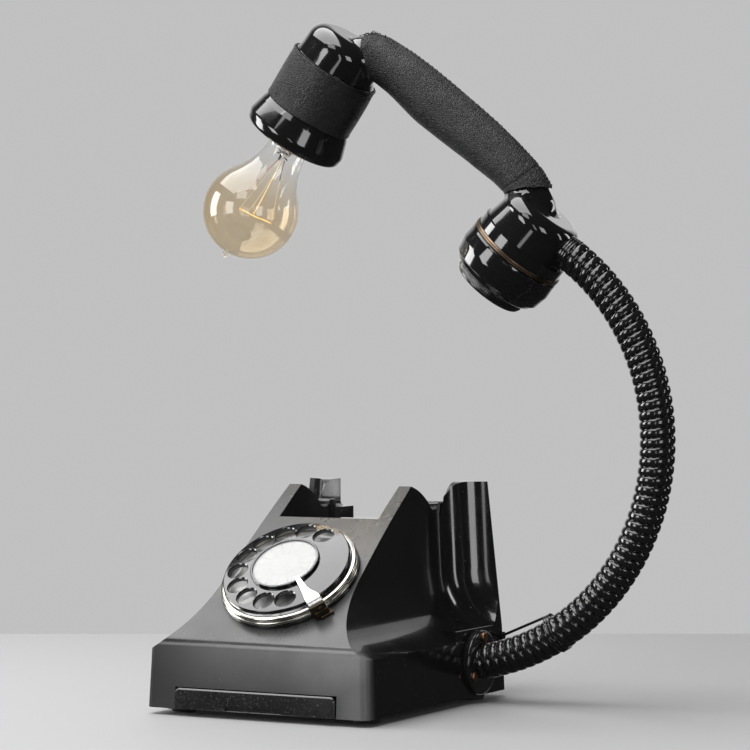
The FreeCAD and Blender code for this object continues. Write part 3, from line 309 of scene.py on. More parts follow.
def body_bakelite():
    """The case: polished sides, a hazed slope, and an apron worn to a satin, with a painted sheen
    lightening the apron and the slope.
    """
    shader = bakelite("bakelite_case", gloss=0.10, dust=0.5, wear=0.9)
    front = shader.ranged(shader.axis(1), APRON_FRONT + 0.010, APRON_FRONT + 0.002)
    apron = shader.times(front, shader.ranged(shader.axis(2), *APRON_TOP))
    normal = shader.node("NewGeometry").outputs["Normal"]
    slope = shader.ranged(shader.dot(normal, SLOPE_NORMAL), 0.93, 0.985)
    worn = shader.noise(34.0, 6.0, 0.7, stretch=(1.0, 1.0, 0.35))
    satin = shader.times(apron, shader.ranged(worn, 0.25, 0.75, 0.22, 0.36))
    hazed = shader.times(slope, shader.ranged(worn, 0.3, 0.7, 0.12, 0.20))
    haze = shader.math("ADD", satin, hazed)
    shader.rough(shader.math("ADD", shader.now("Roughness"), haze))
    polished = shader.math("SUBTRACT", 1.0, shader.math("MAXIMUM", apron, slope))
    shader.put({"Coat Weight": shader.times(polished, COAT)})
    grit = shader.noise(1500.0, 2.0, 0.7)
    shader.bump(shader.times(grit, apron), 0.00006, 0.35)
    # Painted sheen: the apron's colour is lightened towards the right, higher up, in streaks, and
    # most at its right end, where the windows' reflection falls.
    across = shader.ranged(shader.axis(0), PHONE_X - 0.070, PHONE_X + 0.045)
    raised = shader.ranged(shader.axis(2), 0.016, 0.040, 0.30, 1.0)
    painted_highlight_end = shader.ranged(shader.axis(0), PHONE_X + 0.040, PHONE_X + 0.062, 0.0, 0.45)
    sheen_streaks = shader.patches((20.0, 4.0, 0.6), 0.30, 0.66, 0.60, 1.0)
    pale = shader.times(shader.times(across, sheen_streaks), raised)
    pale = shader.times(shader.math("MAXIMUM", pale, painted_highlight_end), apron)
    # The slope is lightened evenly as well, a painted sheen.
    pale = shader.math("ADD", pale, shader.times(slope, 0.20))
    shader.tint(pale, shader.now("Base Color"), (0.20, 0.20, 0.20))
    return shader.material


def drawer_bakelite():
    """The drawer: scuffed, with pale specks where the surface has worn."""
    shader = bakelite("bakelite_drawer", gloss=0.24, dust=1.0, wear=1.0)
    pits = shader.patches((1100.0, 3.0, 0.7), 0.60, 0.70)
    shader.tint(pits, shader.now("Base Color"), (0.09, 0.09, 0.088))
    shader.bump(pits, 0.0001, 0.3)
    return shader.material


def leather(name):
    """Charcoal leather: pebbled grain, creases, and paler rubbed places."""
    shader = Shader(name, (0.02, 0.02, 0.0205), 0.4, IOR=1.52, Specular_IOR_Level=0.32)
    grain = shader.cell_edges(820.0)
    fine = shader.noise(2600.0, 3.0, 0.6)
    rubbed = shader.patches((48.0, 5.0, 0.65), 0.36, 0.70)
    creases = shader.noise(210.0, 4.0, 0.55, stretch=(0.7, 1.0, 1.4))
    base = shader.blend(rubbed, (0.012, 0.012, 0.0125), (0.036, 0.036, 0.037))
    pores = shader.ranged(grain, 0.0, 0.10)
    shader.tint(pores, (0.005, 0.005, 0.005), base)
    shader.rough(shader.ranged(fine, 0.3, 0.7, 0.34, 0.50))
    shader.bump(shader.ranged(grain, 0.0, 0.25), 0.00030)
    shader.bump(creases, 0.0007, 0.7)
    shader.bump(fine, 0.00004, 0.5)
    return shader.material


def metal(name, colour, roughness, tarnish=0.25):
    """Metal with smears, darker where it has tarnished, and a fine grain."""
    shader = Shader(name, colour, roughness, Metallic=1.0)
    smears = shader.noise(90.0, 4.0, 0.6)
    shader.rough(shader.ranged(smears, 0.3, 0.7, roughness, roughness + 0.14))
    darker = tuple(channel * (1 - tarnish) for channel in colour)
    shader.tint(shader.ranged(smears, 0.35, 0.72), colour, darker)
    shader.bump(shader.noise(700.0, 2.0, 0.5, stretch=(1.0, 0.2, 1.0)), 0.00003, 0.1)
    return shader.material


def painted(name, colour, roughness, texture=0.15, coat=0.0):
    shader = Shader(name, colour, roughness, IOR=1.5, Coat_Weight=coat)
    patches = shader.noise(55.0, 4.0, 0.6)
    paler = tuple(min(1.0, channel * 1.5 + 0.004) for channel in colour)
    shader.tint(shader.ranged(patches, 0.4, 0.8), colour, paler)
    shader.rough(shader.ranged(patches, 0.3, 0.7, roughness * 0.8, roughness * 1.25))
    shader.bump(shader.noise(900.0, 2.0, 0.6), 0.00005, texture)
    return shader.material


def conduit_black():
    shader = Shader("conduit_black", (0.010, 0.010, 0.0105), 0.16, IOR=1.55, Coat_Weight=0.5)
    scuffs = shader.noise(150.0, 5.0, 0.65)
    shader.rough(shader.ranged(scuffs, 0.35, 0.75, 0.10, 0.20))
    rubbed = shader.patches((330.0, 3.0, 0.6), 0.70, 0.78)
    shader.tint(rubbed, (0.010, 0.010, 0.0105), (0.05, 0.05, 0.05))
    shader.bump(shader.noise(300.0, 2.0), 0.00002, 0.05)
    return shader.material


def white_card(name, grey, blue):
    colour = (grey, grey, blue)
    shader = Shader(name, colour, 0.42)
    fibres = shader.noise(1200.0, 4.0, 0.65)
    yellowed = shader.patches((60.0, 3.0), 0.4, 0.75)
    shader.tint(yellowed, colour, tuple(c * 0.93 for c in colour))
    shader.bump(fibres, 0.00003, 0.25)
    return shader.material


def let_light_through(shader, tint):
    """Lamps shine through this glass on to what is behind it, as thin glass lets them."""
    clear = shader.node("BsdfTransparent", {"Color": (*tint, 1)})
    shadow = shader.node("LightPath").outputs["Is Shadow Ray"]
    both = {0: shadow, 1: shader.bsdf.outputs[0], 2: clear.outputs[0]}
    mixed = shader.node("MixShader", both).outputs[0]
    fill(shader.tree, shader.tree.nodes["Material Output"], {"Surface": mixed})


def clear_window():
    """A thin clear film: it lets the card show through and adds only a faint gloss."""
    shader = Shader("clear_celluloid", (0.8, 0.8, 0.79), 0.04, IOR=1.45, Alpha=0.08)
    haze = shader.noise(120.0, 3.0)
    shader.rough(shader.ranged(haze, 0.45, 0.7, 0.03, 0.06))
    return shader.material


def bulb_glass_material():
    """Clear at the neck, turning to a thin amber on the globe."""
    shader = Shader("amber_glass", (1.0, 0.97, 0.90), 0.0, IOR=1.46, Transmission_Weight=1.0)
    down = shader.along(RECEIVER_AXIS, RECEIVER_POINT + RECEIVER_AXIS * 68 * MM)
    tint = shader.ranged(down, 0.0, 0.030)
    uneven = shader.patches((30.0, 2.0), 0.3, 0.7, 0.75, 1.0)
    amount = shader.times(tint, uneven)
    shader.tint(amount, (0.99, 0.99, 0.985), (0.90, 0.80, 0.64))
    let_light_through(shader, (0.95, 0.95, 0.94))
    return shader.material


def make_materials():
    """Every look, by the short name that the pieces ask for."""
    return {
        "bakelite": bakelite("bakelite_gloss").material,
        "bakelite_case": body_bakelite(),
        "bakelite_drawer": drawer_bakelite(),
        "dark_steel": painted("japanned_steel", (0.03, 0.03, 0.032), 0.35, 0.3),
        "zinc_steel": metal("zinc_steel", (0.50, 0.50, 0.51), 0.3),
        "rubber": painted("rubber", (0.02, 0.02, 0.02), 0.7, 0.5),
        "brass": metal("brass", (0.62, 0.47, 0.22), 0.26, 0.35),
        "nickel": metal("nickel", (0.74, 0.71, 0.65), 0.14, 0.2),
        "nickel_bright": metal("nickel_bright", (0.90, 0.89, 0.86), 0.30, 0.1),
        "white_enamel": painted("white_enamel", (0.36, 0.36, 0.355), 0.2, 0.05, coat=0.5),
        "label_paper": white_card("label_paper", 0.545, 0.542),
        "label_line": white_card("label_line", 0.385, 0.385),
        "stop_bronze": metal("stop_bronze", (0.075, 0.058, 0.040), 0.32, 0.5),
        "wire_red": metal("copper_support", (0.45, 0.20, 0.12), 0.3),
        "wire_dark": metal("dark_support", (0.10, 0.09, 0.08), 0.3),
        "clear_window": clear_window(),
        "conduit_black": conduit_black(),
        "flange_black": painted("flange_enamel", (0.012, 0.012, 0.012), 0.14, 0.3, coat=0.6),
        "screw_steel": metal("screw_steel", (0.62, 0.61, 0.60), 0.2),
        "screw_copper": metal("screw_copper", (0.55, 0.30, 0.19), 0.22, 0.5),
        "flex_jacket": painted("flex_jacket", (0.03, 0.03, 0.03), 0.55, 0.3),
        "leather_black": leather("leather_black"),
        "thread": painted("waxed_thread", (0.012, 0.012, 0.012), 0.5, 0.8),
        # The cut edge's paler grey is partly the leather's own edge and partly a painted highlight
        # along the edge.
        "sheened_cut_edge": painted("leather_cut_edge", (0.10, 0.10, 0.098), 0.6, 0.8),
        "collar_gold": metal("collar_gold", (0.20, 0.145, 0.10), 0.30, 0.5),
        "bulb_glass": bulb_glass_material(),
        "stem_glass": clear_stem(),
        "filament_wire": painted("filament_supports", (0.66, 0.50, 0.28), 0.25, 0.1, coat=0.5),
        "filament_glow": filament(),
        "insulator": painted("insulator", (0.015, 0.015, 0.016), 0.2, 0.1),
    }


def clear_stem():
    shader = Shader("stem_glass", (0.97, 0.97, 0.96), 0.02, IOR=1.45, Transmission_Weight=1.0)
    shader.bump(shader.noise(160.0, 2.0), 0.0003, 0.2)
    let_light_through(shader, (0.97, 0.97, 0.96))
    return shader.material


def filament():
    glow = {"Emission_Color": (1.0, 0.72, 0.30, 1), "Emission_Strength": 0.35}
    shader = Shader("filament", (0.75, 0.55, 0.25), 0.3, Metallic=1.0, **glow)
    uneven = shader.noise(400.0)
    shader.tint(uneven, (0.72, 0.50, 0.20), (0.85, 0.70, 0.42))
    return shader.material


# ---- mesh helpers
def add_piece(name, mesh, look, smooth_angle=32.0, body="base", stands_for=None, slot=None):
    """Puts a mesh on a body, with its material or materials and the node it stands for."""
    mesh.polygons.foreach_set("use_smooth", [True] * len(mesh.polygons))
    mesh.set_sharp_from_angle(angle=radians(smooth_angle))
    piece = bpy.data.objects.new(name, mesh)
    SCENE.collection.objects.link(piece)
    looks = [look] if isinstance(look, str) else look
    for one in looks:
        mesh.materials.append(materials[one])
    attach(piece, body)
    if stands_for:
        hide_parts(stands_for)
    return piece


def mesh_of(name, verts, faces, second_faces=(), tidy=True):
    """A mesh; second_faces take its second material, and tidy turns its faces outward."""
    mesh = bpy.data.meshes.new(name)
    mesh.from_pydata(verts, [], [*faces, *second_faces])
    mesh.update()
    for polygon in mesh.polygons[len(faces):]:
        polygon.material_index = 1
    if tidy:
        builder = bmesh.new()
        builder.from_mesh(mesh)
        bmesh.ops.remove_doubles(builder, verts=builder.verts, dist=1e-7)
        bmesh.ops.recalc_face_normals(builder, faces=builder.faces)
        builder.to_mesh(mesh)
        builder.free()
    return mesh


def tube_faces(rows, columns):
    """Quads between rows of points, where every row closes on itself."""
    faces = []
    for row in range(rows):
        for column in range(columns):
            here = row * columns + column
            beside = row * columns + (column + 1) % columns
            faces.append((here, here + columns, beside + columns, beside))
    return faces


def polar(s, r, angle):
    """A point s along local Z and r out from it, both in millimetres."""
    return Vector((r * cos(angle), r * sin(angle), s)) * MM


def round_corners(points, closed=True, steps=5):
    """An outline of (s, r, corner radius) with its corners turned into arcs."""
    result = []
    count = len(points)
    for index, (s, r, radius) in enumerate(points):
        here = Vector((s, r))
        if radius <= 0 or (not closed and index in (0, count - 1)):
            result.append(here)
            continue
        before = (Vector(points[index - 1][:2]) - here)
        after = (Vector(points[(index + 1) % count][:2]) - here)
        half = before.angle(after) / 2
        reach = min(radius / tan(half), before.length * 0.49, after.length * 0.49)
        true_radius = reach * tan(half)
        bisector = (before.normalized() + after.normalized()).normalized()
        centre = here + bisector * (true_radius / sin(half))
        first = here + before.normalized() * reach - centre
        last = here + after.normalized() * reach - centre
        sweep = first.angle_signed(last)
        for step in range(steps + 1):
            turned = first.copy()
            turned.rotate(Matrix.Rotation(-sweep * step / steps, 2))
            result.append(centre + turned)
    return result


def axis_matrix(origin, axis):
    """Local +Z along axis and local +Y close to SIDE."""
    z = axis.normalized()
    x = SIDE.cross(z).normalized()
    y = z.cross(x)
    matrix = Matrix((x, y, z)).transposed().to_4x4()
    matrix.translation = origin
    return matrix


RECEIVER_MATRIX = axis_matrix(RECEIVER_POINT, RECEIVER_AXIS)
TRANSMITTER_AXIS = Vector((-sin(radians(42.0)), 0, -cos(radians(42.0))))
TRANSMITTER_POINT = Vector((PHONE_X + 97.1 * MM, ARM_Y, 265.6 * MM))
TRANSMITTER_MATRIX = axis_matrix(TRANSMITTER_POINT, TRANSMITTER_AXIS)
DIAL_MATRIX = axis_matrix(DIAL_CENTRE, DIAL_AXIS)


def turned_piece(
    name, outline, matrix, look, smooth_angle, segments=192, closed=True, shape=None, **rides
):
    """Turns an outline of (s, r) in millimetres about local Z.  shape may move a point
    given its s, r and angle."""
    rings, verts, faces = [], [], []
    for s, r in outline:
        if r < 1e-6:
            rings.append([len(verts)])
            verts.append(matrix @ Vector((0, 0, s * MM)))
            continue
        rings.append(range(len(verts), len(verts) + segments))
        for index in range(segments):
            angle = 2 * pi * index / segments
            here = shape(s, r, angle) if shape else (s, r)
            verts.append(matrix @ polar(*here, angle))
    pairs = list(zip(rings, rings[1:]))
    if closed:
        pairs.append((rings[-1], rings[0]))
    for low, high in pairs:
        if len(low) == len(high) == 1:
            continue
        for index in range(segments):
            following = (index + 1) % segments
            if len(low) == 1:
                faces.append((low[0], high[index], high[following]))
            elif len(high) == 1:
                faces.append((low[index], high[0], low[following]))
            else:
                faces.append((low[index], high[index], high[following], low[following]))
    return add_piece(name, mesh_of(name + "_form", verts, faces), look, smooth_angle, **rides)


def flat_normals(piece):
    """Keeps large faces flat to the light and leaves the turning to their roundings."""
    even = piece.modifiers.new("even", "WEIGHTED_NORMAL")
    even.mode = "FACE_AREA"
    even.weight = 50
    even.keep_sharp = True


def round_edges(piece, width):
    bevel = piece.modifiers.new("rounded", "BEVEL")
    bevel.width = width * MM
    bevel.segments = 2
    bevel.limit_method = "ANGLE"
    bevel.angle_limit = radians(35.0)
    flat_normals(piece)


def thicken(piece, width):
    """Gives a sheet its thickness, under its drawn face."""
    thick = piece.modifiers.new("thick", "SOLIDIFY")
    thick.thickness = width * MM
    thick.offset = -1.0


def wire_piece(name, lines, radius, look, resolution=3, **rides):
    """Round wires along lines of points, made as one curve and turned to a mesh."""
    curve = bpy.data.curves.new(name, "CURVE")
    curve.dimensions = "3D"
    curve.bevel_depth = radius * MM
    curve.bevel_resolution = resolution
    curve.use_fill_caps = True
    for points in lines:
        spline = curve.splines.new("POLY")
        spline.points.add(len(points) - 1)
        for target, point in zip(spline.points, points):
            target.co = (*point, 1)
    source = bpy.data.objects.new(name + "_line", curve)
    mesh = bpy.data.meshes.new_from_object(source)
    bpy.data.objects.remove(source)
    mesh.name = name
    add_piece(name, mesh, look, 50.0, **rides)


# ---- rounded CAD nodes
# Nodes whose own shape is right and only needs its edges rounded, with the width in
# millimetres of each rounding.
ROUNDED_NODES = {
    "body_shell": 1.0,
    "drawer_tray": 0.5,
    "finger_wheel": 0.25,
    "label_ring": 0.15,
    "dial_case": 0.3,
    "plunger_left": 0.4,
    "plunger_right": 0.4,
    "arm_flange": 0.4,
    "flange_screws": 0.15,
    "arm_mount_block": 0.5,
    "mouthpiece_insert": 0.3,
    "cord_gland": 0.3,
    "feet": 0.3,
    "case_screws": 0.15,
}


def node_look(node):
    return SPECIAL_LOOKS.get(node, SLOTS[node])


def rounded_node(node, width):
    """A copy of a CAD node with its edges rounded, which stands for the node."""
    mesh = NODES[node].data.copy()
    mesh.materials.clear()
    builder = bmesh.new()
    builder.from_mesh(mesh)
    bmesh.ops.remove_doubles(builder, verts=builder.verts, dist=0.004 * MM)
    bmesh.ops.dissolve_limit(
        builder, angle_limit=radians(0.6), verts=builder.verts, edges=builder.edges
    )
    limit = radians(28.0)
    sharp = [e for e in builder.edges if len(e.link_faces) == 2 and e.calc_face_angle() > limit]
    bmesh.ops.bevel(
        builder,
        geom=sharp,
        offset=width * MM,
        offset_type="OFFSET",
        segments=2,
        profile=0.5,
        affect="EDGES",
        clamp_overlap=True,
        miter_outer="ARC",
    )
    bmesh.ops.triangulate(builder, faces=[f for f in builder.faces if len(f.verts) > 4])
    builder.to_mesh(mesh)
    builder.free()
    if "custom_normal" in mesh.attributes:
        mesh.attributes.remove(mesh.attributes["custom_normal"])
    rides = {"body": NODES[node]["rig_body"], "stands_for": node, "slot": SLOTS[node]}
    flat_normals(add_piece(node + "_piece", mesh, node_look(node), **rides))


DOME = 1.9             # how far the finger wheel's middle is raised
DOME_RADIUS = 39.0
LABEL_LIFT = 1.42      # and the label with it


def dome_wheel():
    """Raises the finger wheel's middle a little and the label's ring with it."""
    back = DIAL_MATRIX.inverted()
    lift = DIAL_AXIS * MM
    wheel = bpy.data.objects["finger_wheel_piece"].data
    form = bmesh.new()
    form.from_mesh(wheel)
    for _ in range(3):
        long_edges = [edge for edge in form.edges if edge.calc_length() > 4 * MM]
        bmesh.ops.subdivide_edges(form, edges=long_edges, cuts=1)
    bmesh.ops.triangulate(form, faces=[face for face in form.faces if len(face.verts) > 4])
    form.to_mesh(wheel)
    form.free()
    for vert in wheel.vertices:
        spot = back @ vert.co
        share = min(1.0, Vector((spot.x, spot.y)).length / MM / DOME_RADIUS)
        vert.co += lift * DOME * (1 - share ** 2)
    for vert in bpy.data.objects["label_ring_piece"].data.vertices:
        vert.co += lift * LABEL_LIFT


def label_window_piece():
    """The clear cover over the card, with a rounded edge."""
    outline = [(1.0, 0.0), (1.0, 19.0), (1.3, 19.25), (1.6, 19.0), (1.95, 16.0), (2.1, 0.0)]
    outline = [(s + LABEL_LIFT, r) for s, r in outline]
    rides = {"body": "dial_wheel", "stands_for": "label_window"}
    name = "label_window_cover"
    turned_piece(name, outline, DIAL_MATRIX, "clear_window", 40.0, 96, False, **rides)


# ---- finishing the CAD nodes
def dress_cad_nodes():
    """Every node keeps a procedural material, whether it shows or not."""
    for name, node in NODES.items():
        node.data.materials.clear()
        node.data.materials.append(materials[node_look(name)])


# ---- arm
def arm_frame(angle):
    """Centre, outward and tangent directions of the arm at an angle in radians."""
    outward = Vector((cos(angle), 0, sin(angle)))
    tangent = Vector((-sin(angle), 0, cos(angle)))
    return ARM_CENTRE + outward * ARM_RADIUS, outward, tangent


def conduit_piece():
    """Spiral conduit: one rounded rib wound round the arm from end to end."""
    root, crest = 8.75 * MM, 10.45 * MM
    ribs, per_rib, around = 57, 14, 64
    rows = ribs * per_rib
    verts = []
    for row in range(rows + 1):
        share = row / rows
        centre, outward, _ = arm_frame(ARM_START + (ARM_END - ARM_START) * share)
        for step in range(around):
            turn = 2 * pi * step / around
            phase = (share * ribs - step / around) % 1.0
            rise = max(0.0, 1 - abs(2 * phase - 1) ** 2.6)
            ragged = 0.012 * MM * noise.noise((share * 40, cos(turn), sin(turn)))
            radius = root + (crest - root) * rise ** 0.55 + ragged
            verts.append(centre + (outward * cos(turn) + SIDE * sin(turn)) * radius)
    faces = tube_faces(rows, around)
    faces += [tuple(range(around)), tuple(rows * around + step for step in range(around))]
    mesh = mesh_of("conduit", verts, faces)
    add_piece("arm_conduit_ribbed", mesh, "conduit_black", 70.0, stands_for="arm_conduit")


CLIP_ANGLE = -59.0
STAY_FOOT = Vector((70.6, 84.0, 36.4))


def stay_pieces():
    """A thin rod from the case's rear corner, wired down on top of the conduit."""
    foot = STAY_FOOT * MM + Vector((PHONE_X, 0, 0))
    centre, outward, _ = arm_frame(radians(CLIP_ANGLE + 2.0))
    rod = [[foot, centre - outward * 11.5 * MM]]
    wire_piece("stay_rod_wire", rod, 0.9, "flange_black", stands_for="stay_rod")
    lug = [[foot, foot + Vector((1.2, 0, 0)) * MM]]
    wire_piece("stay_foot", lug, 2.5, "flange_black", 6)
    rings = []
    for shift in (0.2, 1.0, 1.8):
        centre, outward, _ = arm_frame(radians(CLIP_ANGLE + shift))
        ring = []
        for step in range(49):
            turn = 2 * pi * step / 48
            rise = 10.75 + 1.6 * max(0.0, cos(turn)) ** 16
            ring.append(centre + (SIDE * sin(turn) - outward * cos(turn)) * rise * MM)
        rings.append(ring)
    wire_piece("stay_clip_wires", rings, 0.42, "flange_black", stands_for="stay_clip")


# ---- handset leather
GRIP_SECTIONS = [
    (-17.0, 381.0, 10.0, 11.0, 10.6),
    (-1.5, 385.0, -18.0, 11.4, 10.9),
    (18.0, 374.2, -37.0, 12.4, 11.3),
    (43.0, 353.8, -38.5, 13.9, 11.9),
    (72.5, 330.8, -39.0, 12.9, 11.7),
    (93.5, 313.0, -46.0, 11.5, 11.4),
    (103.6, 300.5, -70.0, 11.9, 11.9),
    (107.5, 284.5, -88.0, 12.8, 12.6),
]


def catmull(values, t):
    """Smooth curve through values at t = 0, 1, 2, ..."""
    index = min(int(t), len(values) - 2)
    share = t - index
    near = [values[max(0, min(len(values) - 1, index + k))] for k in (-1, 0, 1, 2)]
    p0, p1, p2, p3 = near
    return 0.5 * (
        2 * p1
        + (p2 - p0) * share
        + (2 * p0 - 5 * p1 + 4 * p2 - p3) * share ** 2
        + (3 * p1 - p0 - 3 * p2 + p3) * share ** 3
    )


GRIP_COLUMNS = list(zip(*GRIP_SECTIONS))


def grip_spot(t, around, extra):
    """A point on the grip's surface at section number t, extra millimetres out; around is
    90 degrees on top."""
    x, z, angle, height, thick = (catmull(column, t) for column in GRIP_COLUMNS)
    turn = radians(angle)
    up = Vector((-sin(turn), 0, cos(turn)))
    middle = Vector((x + PHONE_X / MM, ARM_Y / MM, z))
    reach_up = up * sin(around) * (height + extra)
    reach_side = SIDE * cos(around) * (thick + extra)
    return (middle + reach_up + reach_side) * MM


LEATHER_START = 1.03
LEATHER_END = 5.95
SEAM = radians(84.0)


def sleeve_t(share, around):
    """Section number at a share of the sleeve's length; both cut ends are slanted."""
    slant = -0.27 * (1 - share) ** 6 + 0.20 * share ** 6
    return LEATHER_START + (LEATHER_END - LEATHER_START) * share + slant * sin(around)


def leather_rise(t, around):
    """How far the leather stands off the grip, with its folds and its seam."""
    share = (t - LEATHER_START) / (LEATHER_END - LEATHER_START)
    spot = Vector((t * 3.1, cos(around) * 1.6, sin(around) * 1.6))
    rise = 1.45 + 0.16 * noise.noise(spot * 0.9)
    gathered = max(0.0, 1 - share / 0.12) + 0.8 * max(0.0, 1 - (1 - share) / 0.10)
    folds = noise.noise(Vector((t * 5.0, around * 3.4, 0.7)))
    rise += gathered * 0.55 * folds + 0.30 * gathered * noise.noise(spot * 7.0)
    off_seam = (around - SEAM) * 13.0
    puckers = sin(t * 58.0) * exp(-abs(off_seam) / 2.2)
    rise += 0.9 * exp(-((off_seam / 0.8) ** 2)) + 0.13 * puckers
    crease = exp(-(((share - 0.915 - 0.020 * cos(around * 2)) / 0.010) ** 2))
    rise -= 0.45 * crease
    return rise


def leather_piece():
    """The grip's sewn leather sleeve, with cut ends that turn in to the grip."""
    rows, columns = 230, 150
    turns = [SEAM + 2 * pi * column / columns for column in range(columns)]
    verts = []
    for row in range(rows + 1):
        share = row / rows
        for around in turns:
            wave = noise.noise(Vector((cos(around) * 2, sin(around) * 2, share * 3)))
            t = sleeve_t(share, around) + wave * 0.05 * (abs(share - 0.5) * 2) ** 6
            wrapped = around if around < SEAM + pi else around - 2 * pi
            verts.append(grip_spot(t, around, leather_rise(t, wrapped)))
    edge_faces = []
    for share, inward, outer in ((0, 0.03, 0), (1, -0.03, rows * columns)):
        inner = len(verts)
        for column, around in enumerate(turns):
            verts.append(grip_spot(sleeve_t(share, around) + inward, around, 0.15))
            following = (column + 1) % columns
            outer_edge = (outer + column, outer + following)
            edge_faces.append((*outer_edge, inner + following, inner + column))
    mesh = mesh_of("grip_sleeve", verts, tube_faces(rows, columns), edge_faces)
    # The cut ends take the paler edge colour, partly a painted highlight.
    looks = ["leather_black", "sheened_cut_edge"]
    piece = add_piece("grip_sleeve_leather", mesh, looks, 55.0, stands_for="grip_leather")


def seam_threads():
    """Whip stitches over the sleeve's seam, and the loose ends at the receiver."""
    lines = []
    t = sleeve_t(0.0, SEAM) + 0.05
    while t < sleeve_t(1.0, SEAM) - 0.05:
        lean = 0.035 + random.uniform(-0.012, 0.012)
        line = []
        for step in range(9):
            share = step / 8 * 2 - 1
            around = SEAM + share * radians(8.5)
            here = t + lean * share
            lift = leather_rise(here, around) + 0.16 - 0.25 * abs(share) ** 4
            line.append(grip_spot(here, around, lift))
        lines.append(line)
        t += 0.118 + random.uniform(-0.016, 0.016)
    for _ in range(26):
        start_t = sleeve_t(0.0, SEAM) + random.uniform(0.0, 0.75) ** 1.3
        start = SEAM + random.uniform(-0.30, 0.35)
        drift = random.uniform(-0.20, 0.20)
        turn = random.uniform(-0.5, 0.5)
        line = []
        for step in range(7):
            share = step / 6
            here = start_t + drift * share
            around = start + turn * share
            lift = leather_rise(here, around) + 0.2 + 1.1 * sin(share * pi)
            line.append(grip_spot(here, around, lift * 0.98))
        lines.append(line)
    wire_piece("grip_seam_thread", lines, 0.22, "thread")


BAND_SEAM = radians(187.0)
BAND_HEIGHT = 33.0
BAND_RADIUS = 28.15


def band_shape(s, r, angle):
    """Waves the band's edges and swells it a little, and gathers it at the seam."""
    off = remainder(angle - BAND_SEAM, 2 * pi)
    spot = Vector((cos(angle) * 2, sin(angle) * 2, s * 0.12))
    share = s / BAND_HEIGHT
    swell = 0.22 * sin(max(0.0, min(1.0, share)) * pi)
    rough = 0.14 * noise.noise(spot) + 0.07 * noise.noise(spot * 4)
    gather = exp(-((off / 0.10) ** 2))
    pucker = 0.5 * gather * sin(s * 1.9) + 0.55 * exp(-((off / 0.045) ** 2))
    edge = noise.noise(Vector((cos(angle) * 3, sin(angle) * 3, 5.0)))
    lift = 0.25 * edge * abs(2 * share - 1) ** 8
    return s + lift + 0.8 * gather * (share - 0.5), r + swell + rough + pucker


def band_piece():
    """The receiver's leather band, with turned edges."""
    outline = [(0.15, 27.3), (0.0, 27.9), (0.25, 28.35), (0.9, 28.45)]
    rows = 34
    for row in range(1, rows):
        outline.append((0.9 + (BAND_HEIGHT - 1.8) * row / rows, BAND_RADIUS))
    outline += [(BAND_HEIGHT - 0.9, 28.4), (BAND_HEIGHT - 0.2, 28.3)]
    outline += [(BAND_HEIGHT, 27.85), (BAND_HEIGHT - 0.15, 27.3)]
    rides = {"closed": False, "shape": band_shape, "stands_for": "receiver_band"}
    look, name = "leather_black", "receiver_band_leather"
    piece = turned_piece(name, outline, RECEIVER_MATRIX, look, 60.0, 288, **rides)


def band_spot(s, angle, lift):
    here_s, here_r = band_shape(s, BAND_RADIUS, angle)
    return RECEIVER_MATRIX @ polar(here_s, here_r + lift, angle)


def band_lacing():
    """Crossed lacing down the band's seam, with a few loose fibres."""
    lines = []
    holes = 8
    for index in range(holes):
        low = 1.8 + index * (BAND_HEIGHT - 5.0) / (holes - 1)
        high = low + 3.2
        for side in (-1, 1):
            line = []
            for step in range(7):
                share = step / 6
                angle = BAND_SEAM + side * (0.085 - 0.17 * share)
                s = low + (high - low) * share
                lift = 0.15 + 0.35 * sin(share * pi)
                line.append(band_spot(s, angle, lift))
            lines.append(line)
    for _ in range(16):
        s0 = random.uniform(0.5, BAND_HEIGHT - 0.5)
        a0 = BAND_SEAM + random.uniform(-0.16, 0.16)
        line = []
        for step in range(6):
            share = step / 5
            s = s0 + share * random.uniform(-2.0, 2.5)
            angle = a0 + share * random.uniform(-0.10, 0.10)
            line.append(band_spot(s, angle, 0.2 + 1.2 * sin(share * 2.4)))
        lines.append(line)
    wire_piece("band_lacing_thread", lines, 0.20, "thread")


# ---- turned handset parts
def ear_cap_piece():
    outline = [
        (33.1, 23.8, 0), (33.1, 27.9, 0.6), (36.5, 29.4, 2.0), (46.5, 32.4, 6.0),
        (53.4, 31.2, 4.6), (53.4, 19.4, 0.8), (49.6, 19.4, 0.4), (49.6, 27.6, 0.6),
        (44.0, 27.0, 1.0), (37.0, 23.8, 0),
    ]
    outline = round_corners(outline, steps=9)
    turned_piece(
        "ear_cap_flared", outline, RECEIVER_MATRIX, "bakelite", 40.0, stands_for="ear_cap"
    )


def mouthpiece_pieces():
    """The mouthpiece's turned cap, the ring behind it and the reeding inside."""
    cap = [
        (1.6, 25.2, 0), (1.6, 29.7, 0.5), (3.0, 30.1, 1.0), (11.0, 30.7, 9.0),
        (18.6, 29.3, 0.3), (18.9, 28.8, 0.15), (19.2, 28.95, 0.3), (22.6, 26.6, 2.4),
        (22.6, 22.4, 0.4), (18.0, 22.4, 0), (18.0, 25.2, 0),
    ]
    collar = [
        (-1.5, 24.7, 0), (-1.5, 29.4, 0.4), (-0.5, 29.95, 0.4), (-0.1, 29.5, 0.15),
        (0.1, 29.5, 0.15), (0.5, 29.95, 0.4), (1.5, 29.4, 0.4), (1.5, 24.7, 0),
    ]
    reeds = [(22.8, 22.0), (23.1, 22.38), (27.2, 22.38), (27.5, 22.0)]

    def reeded(s, r, angle):
        return s, r + (0.14 * cos(110 * angle) if r > 22.2 else 0.0)

    for name, outline, steps, look, angle, node in (
        ("mouthpiece_cap_turned", cap, 9, "bakelite", 40.0, "mouthpiece_cap"),
        ("transmitter_collar_ring", collar, 4, "collar_gold", 50.0, "transmitter_collar"),
    ):
        outline = round_corners(outline, steps=steps)
        turned_piece(name, outline, TRANSMITTER_MATRIX, look, angle, stands_for=node)
    name = "mouthpiece_reeding"
    turned_piece(name, reeds, TRANSMITTER_MATRIX, "bakelite", 50.0, 880, shape=reeded)


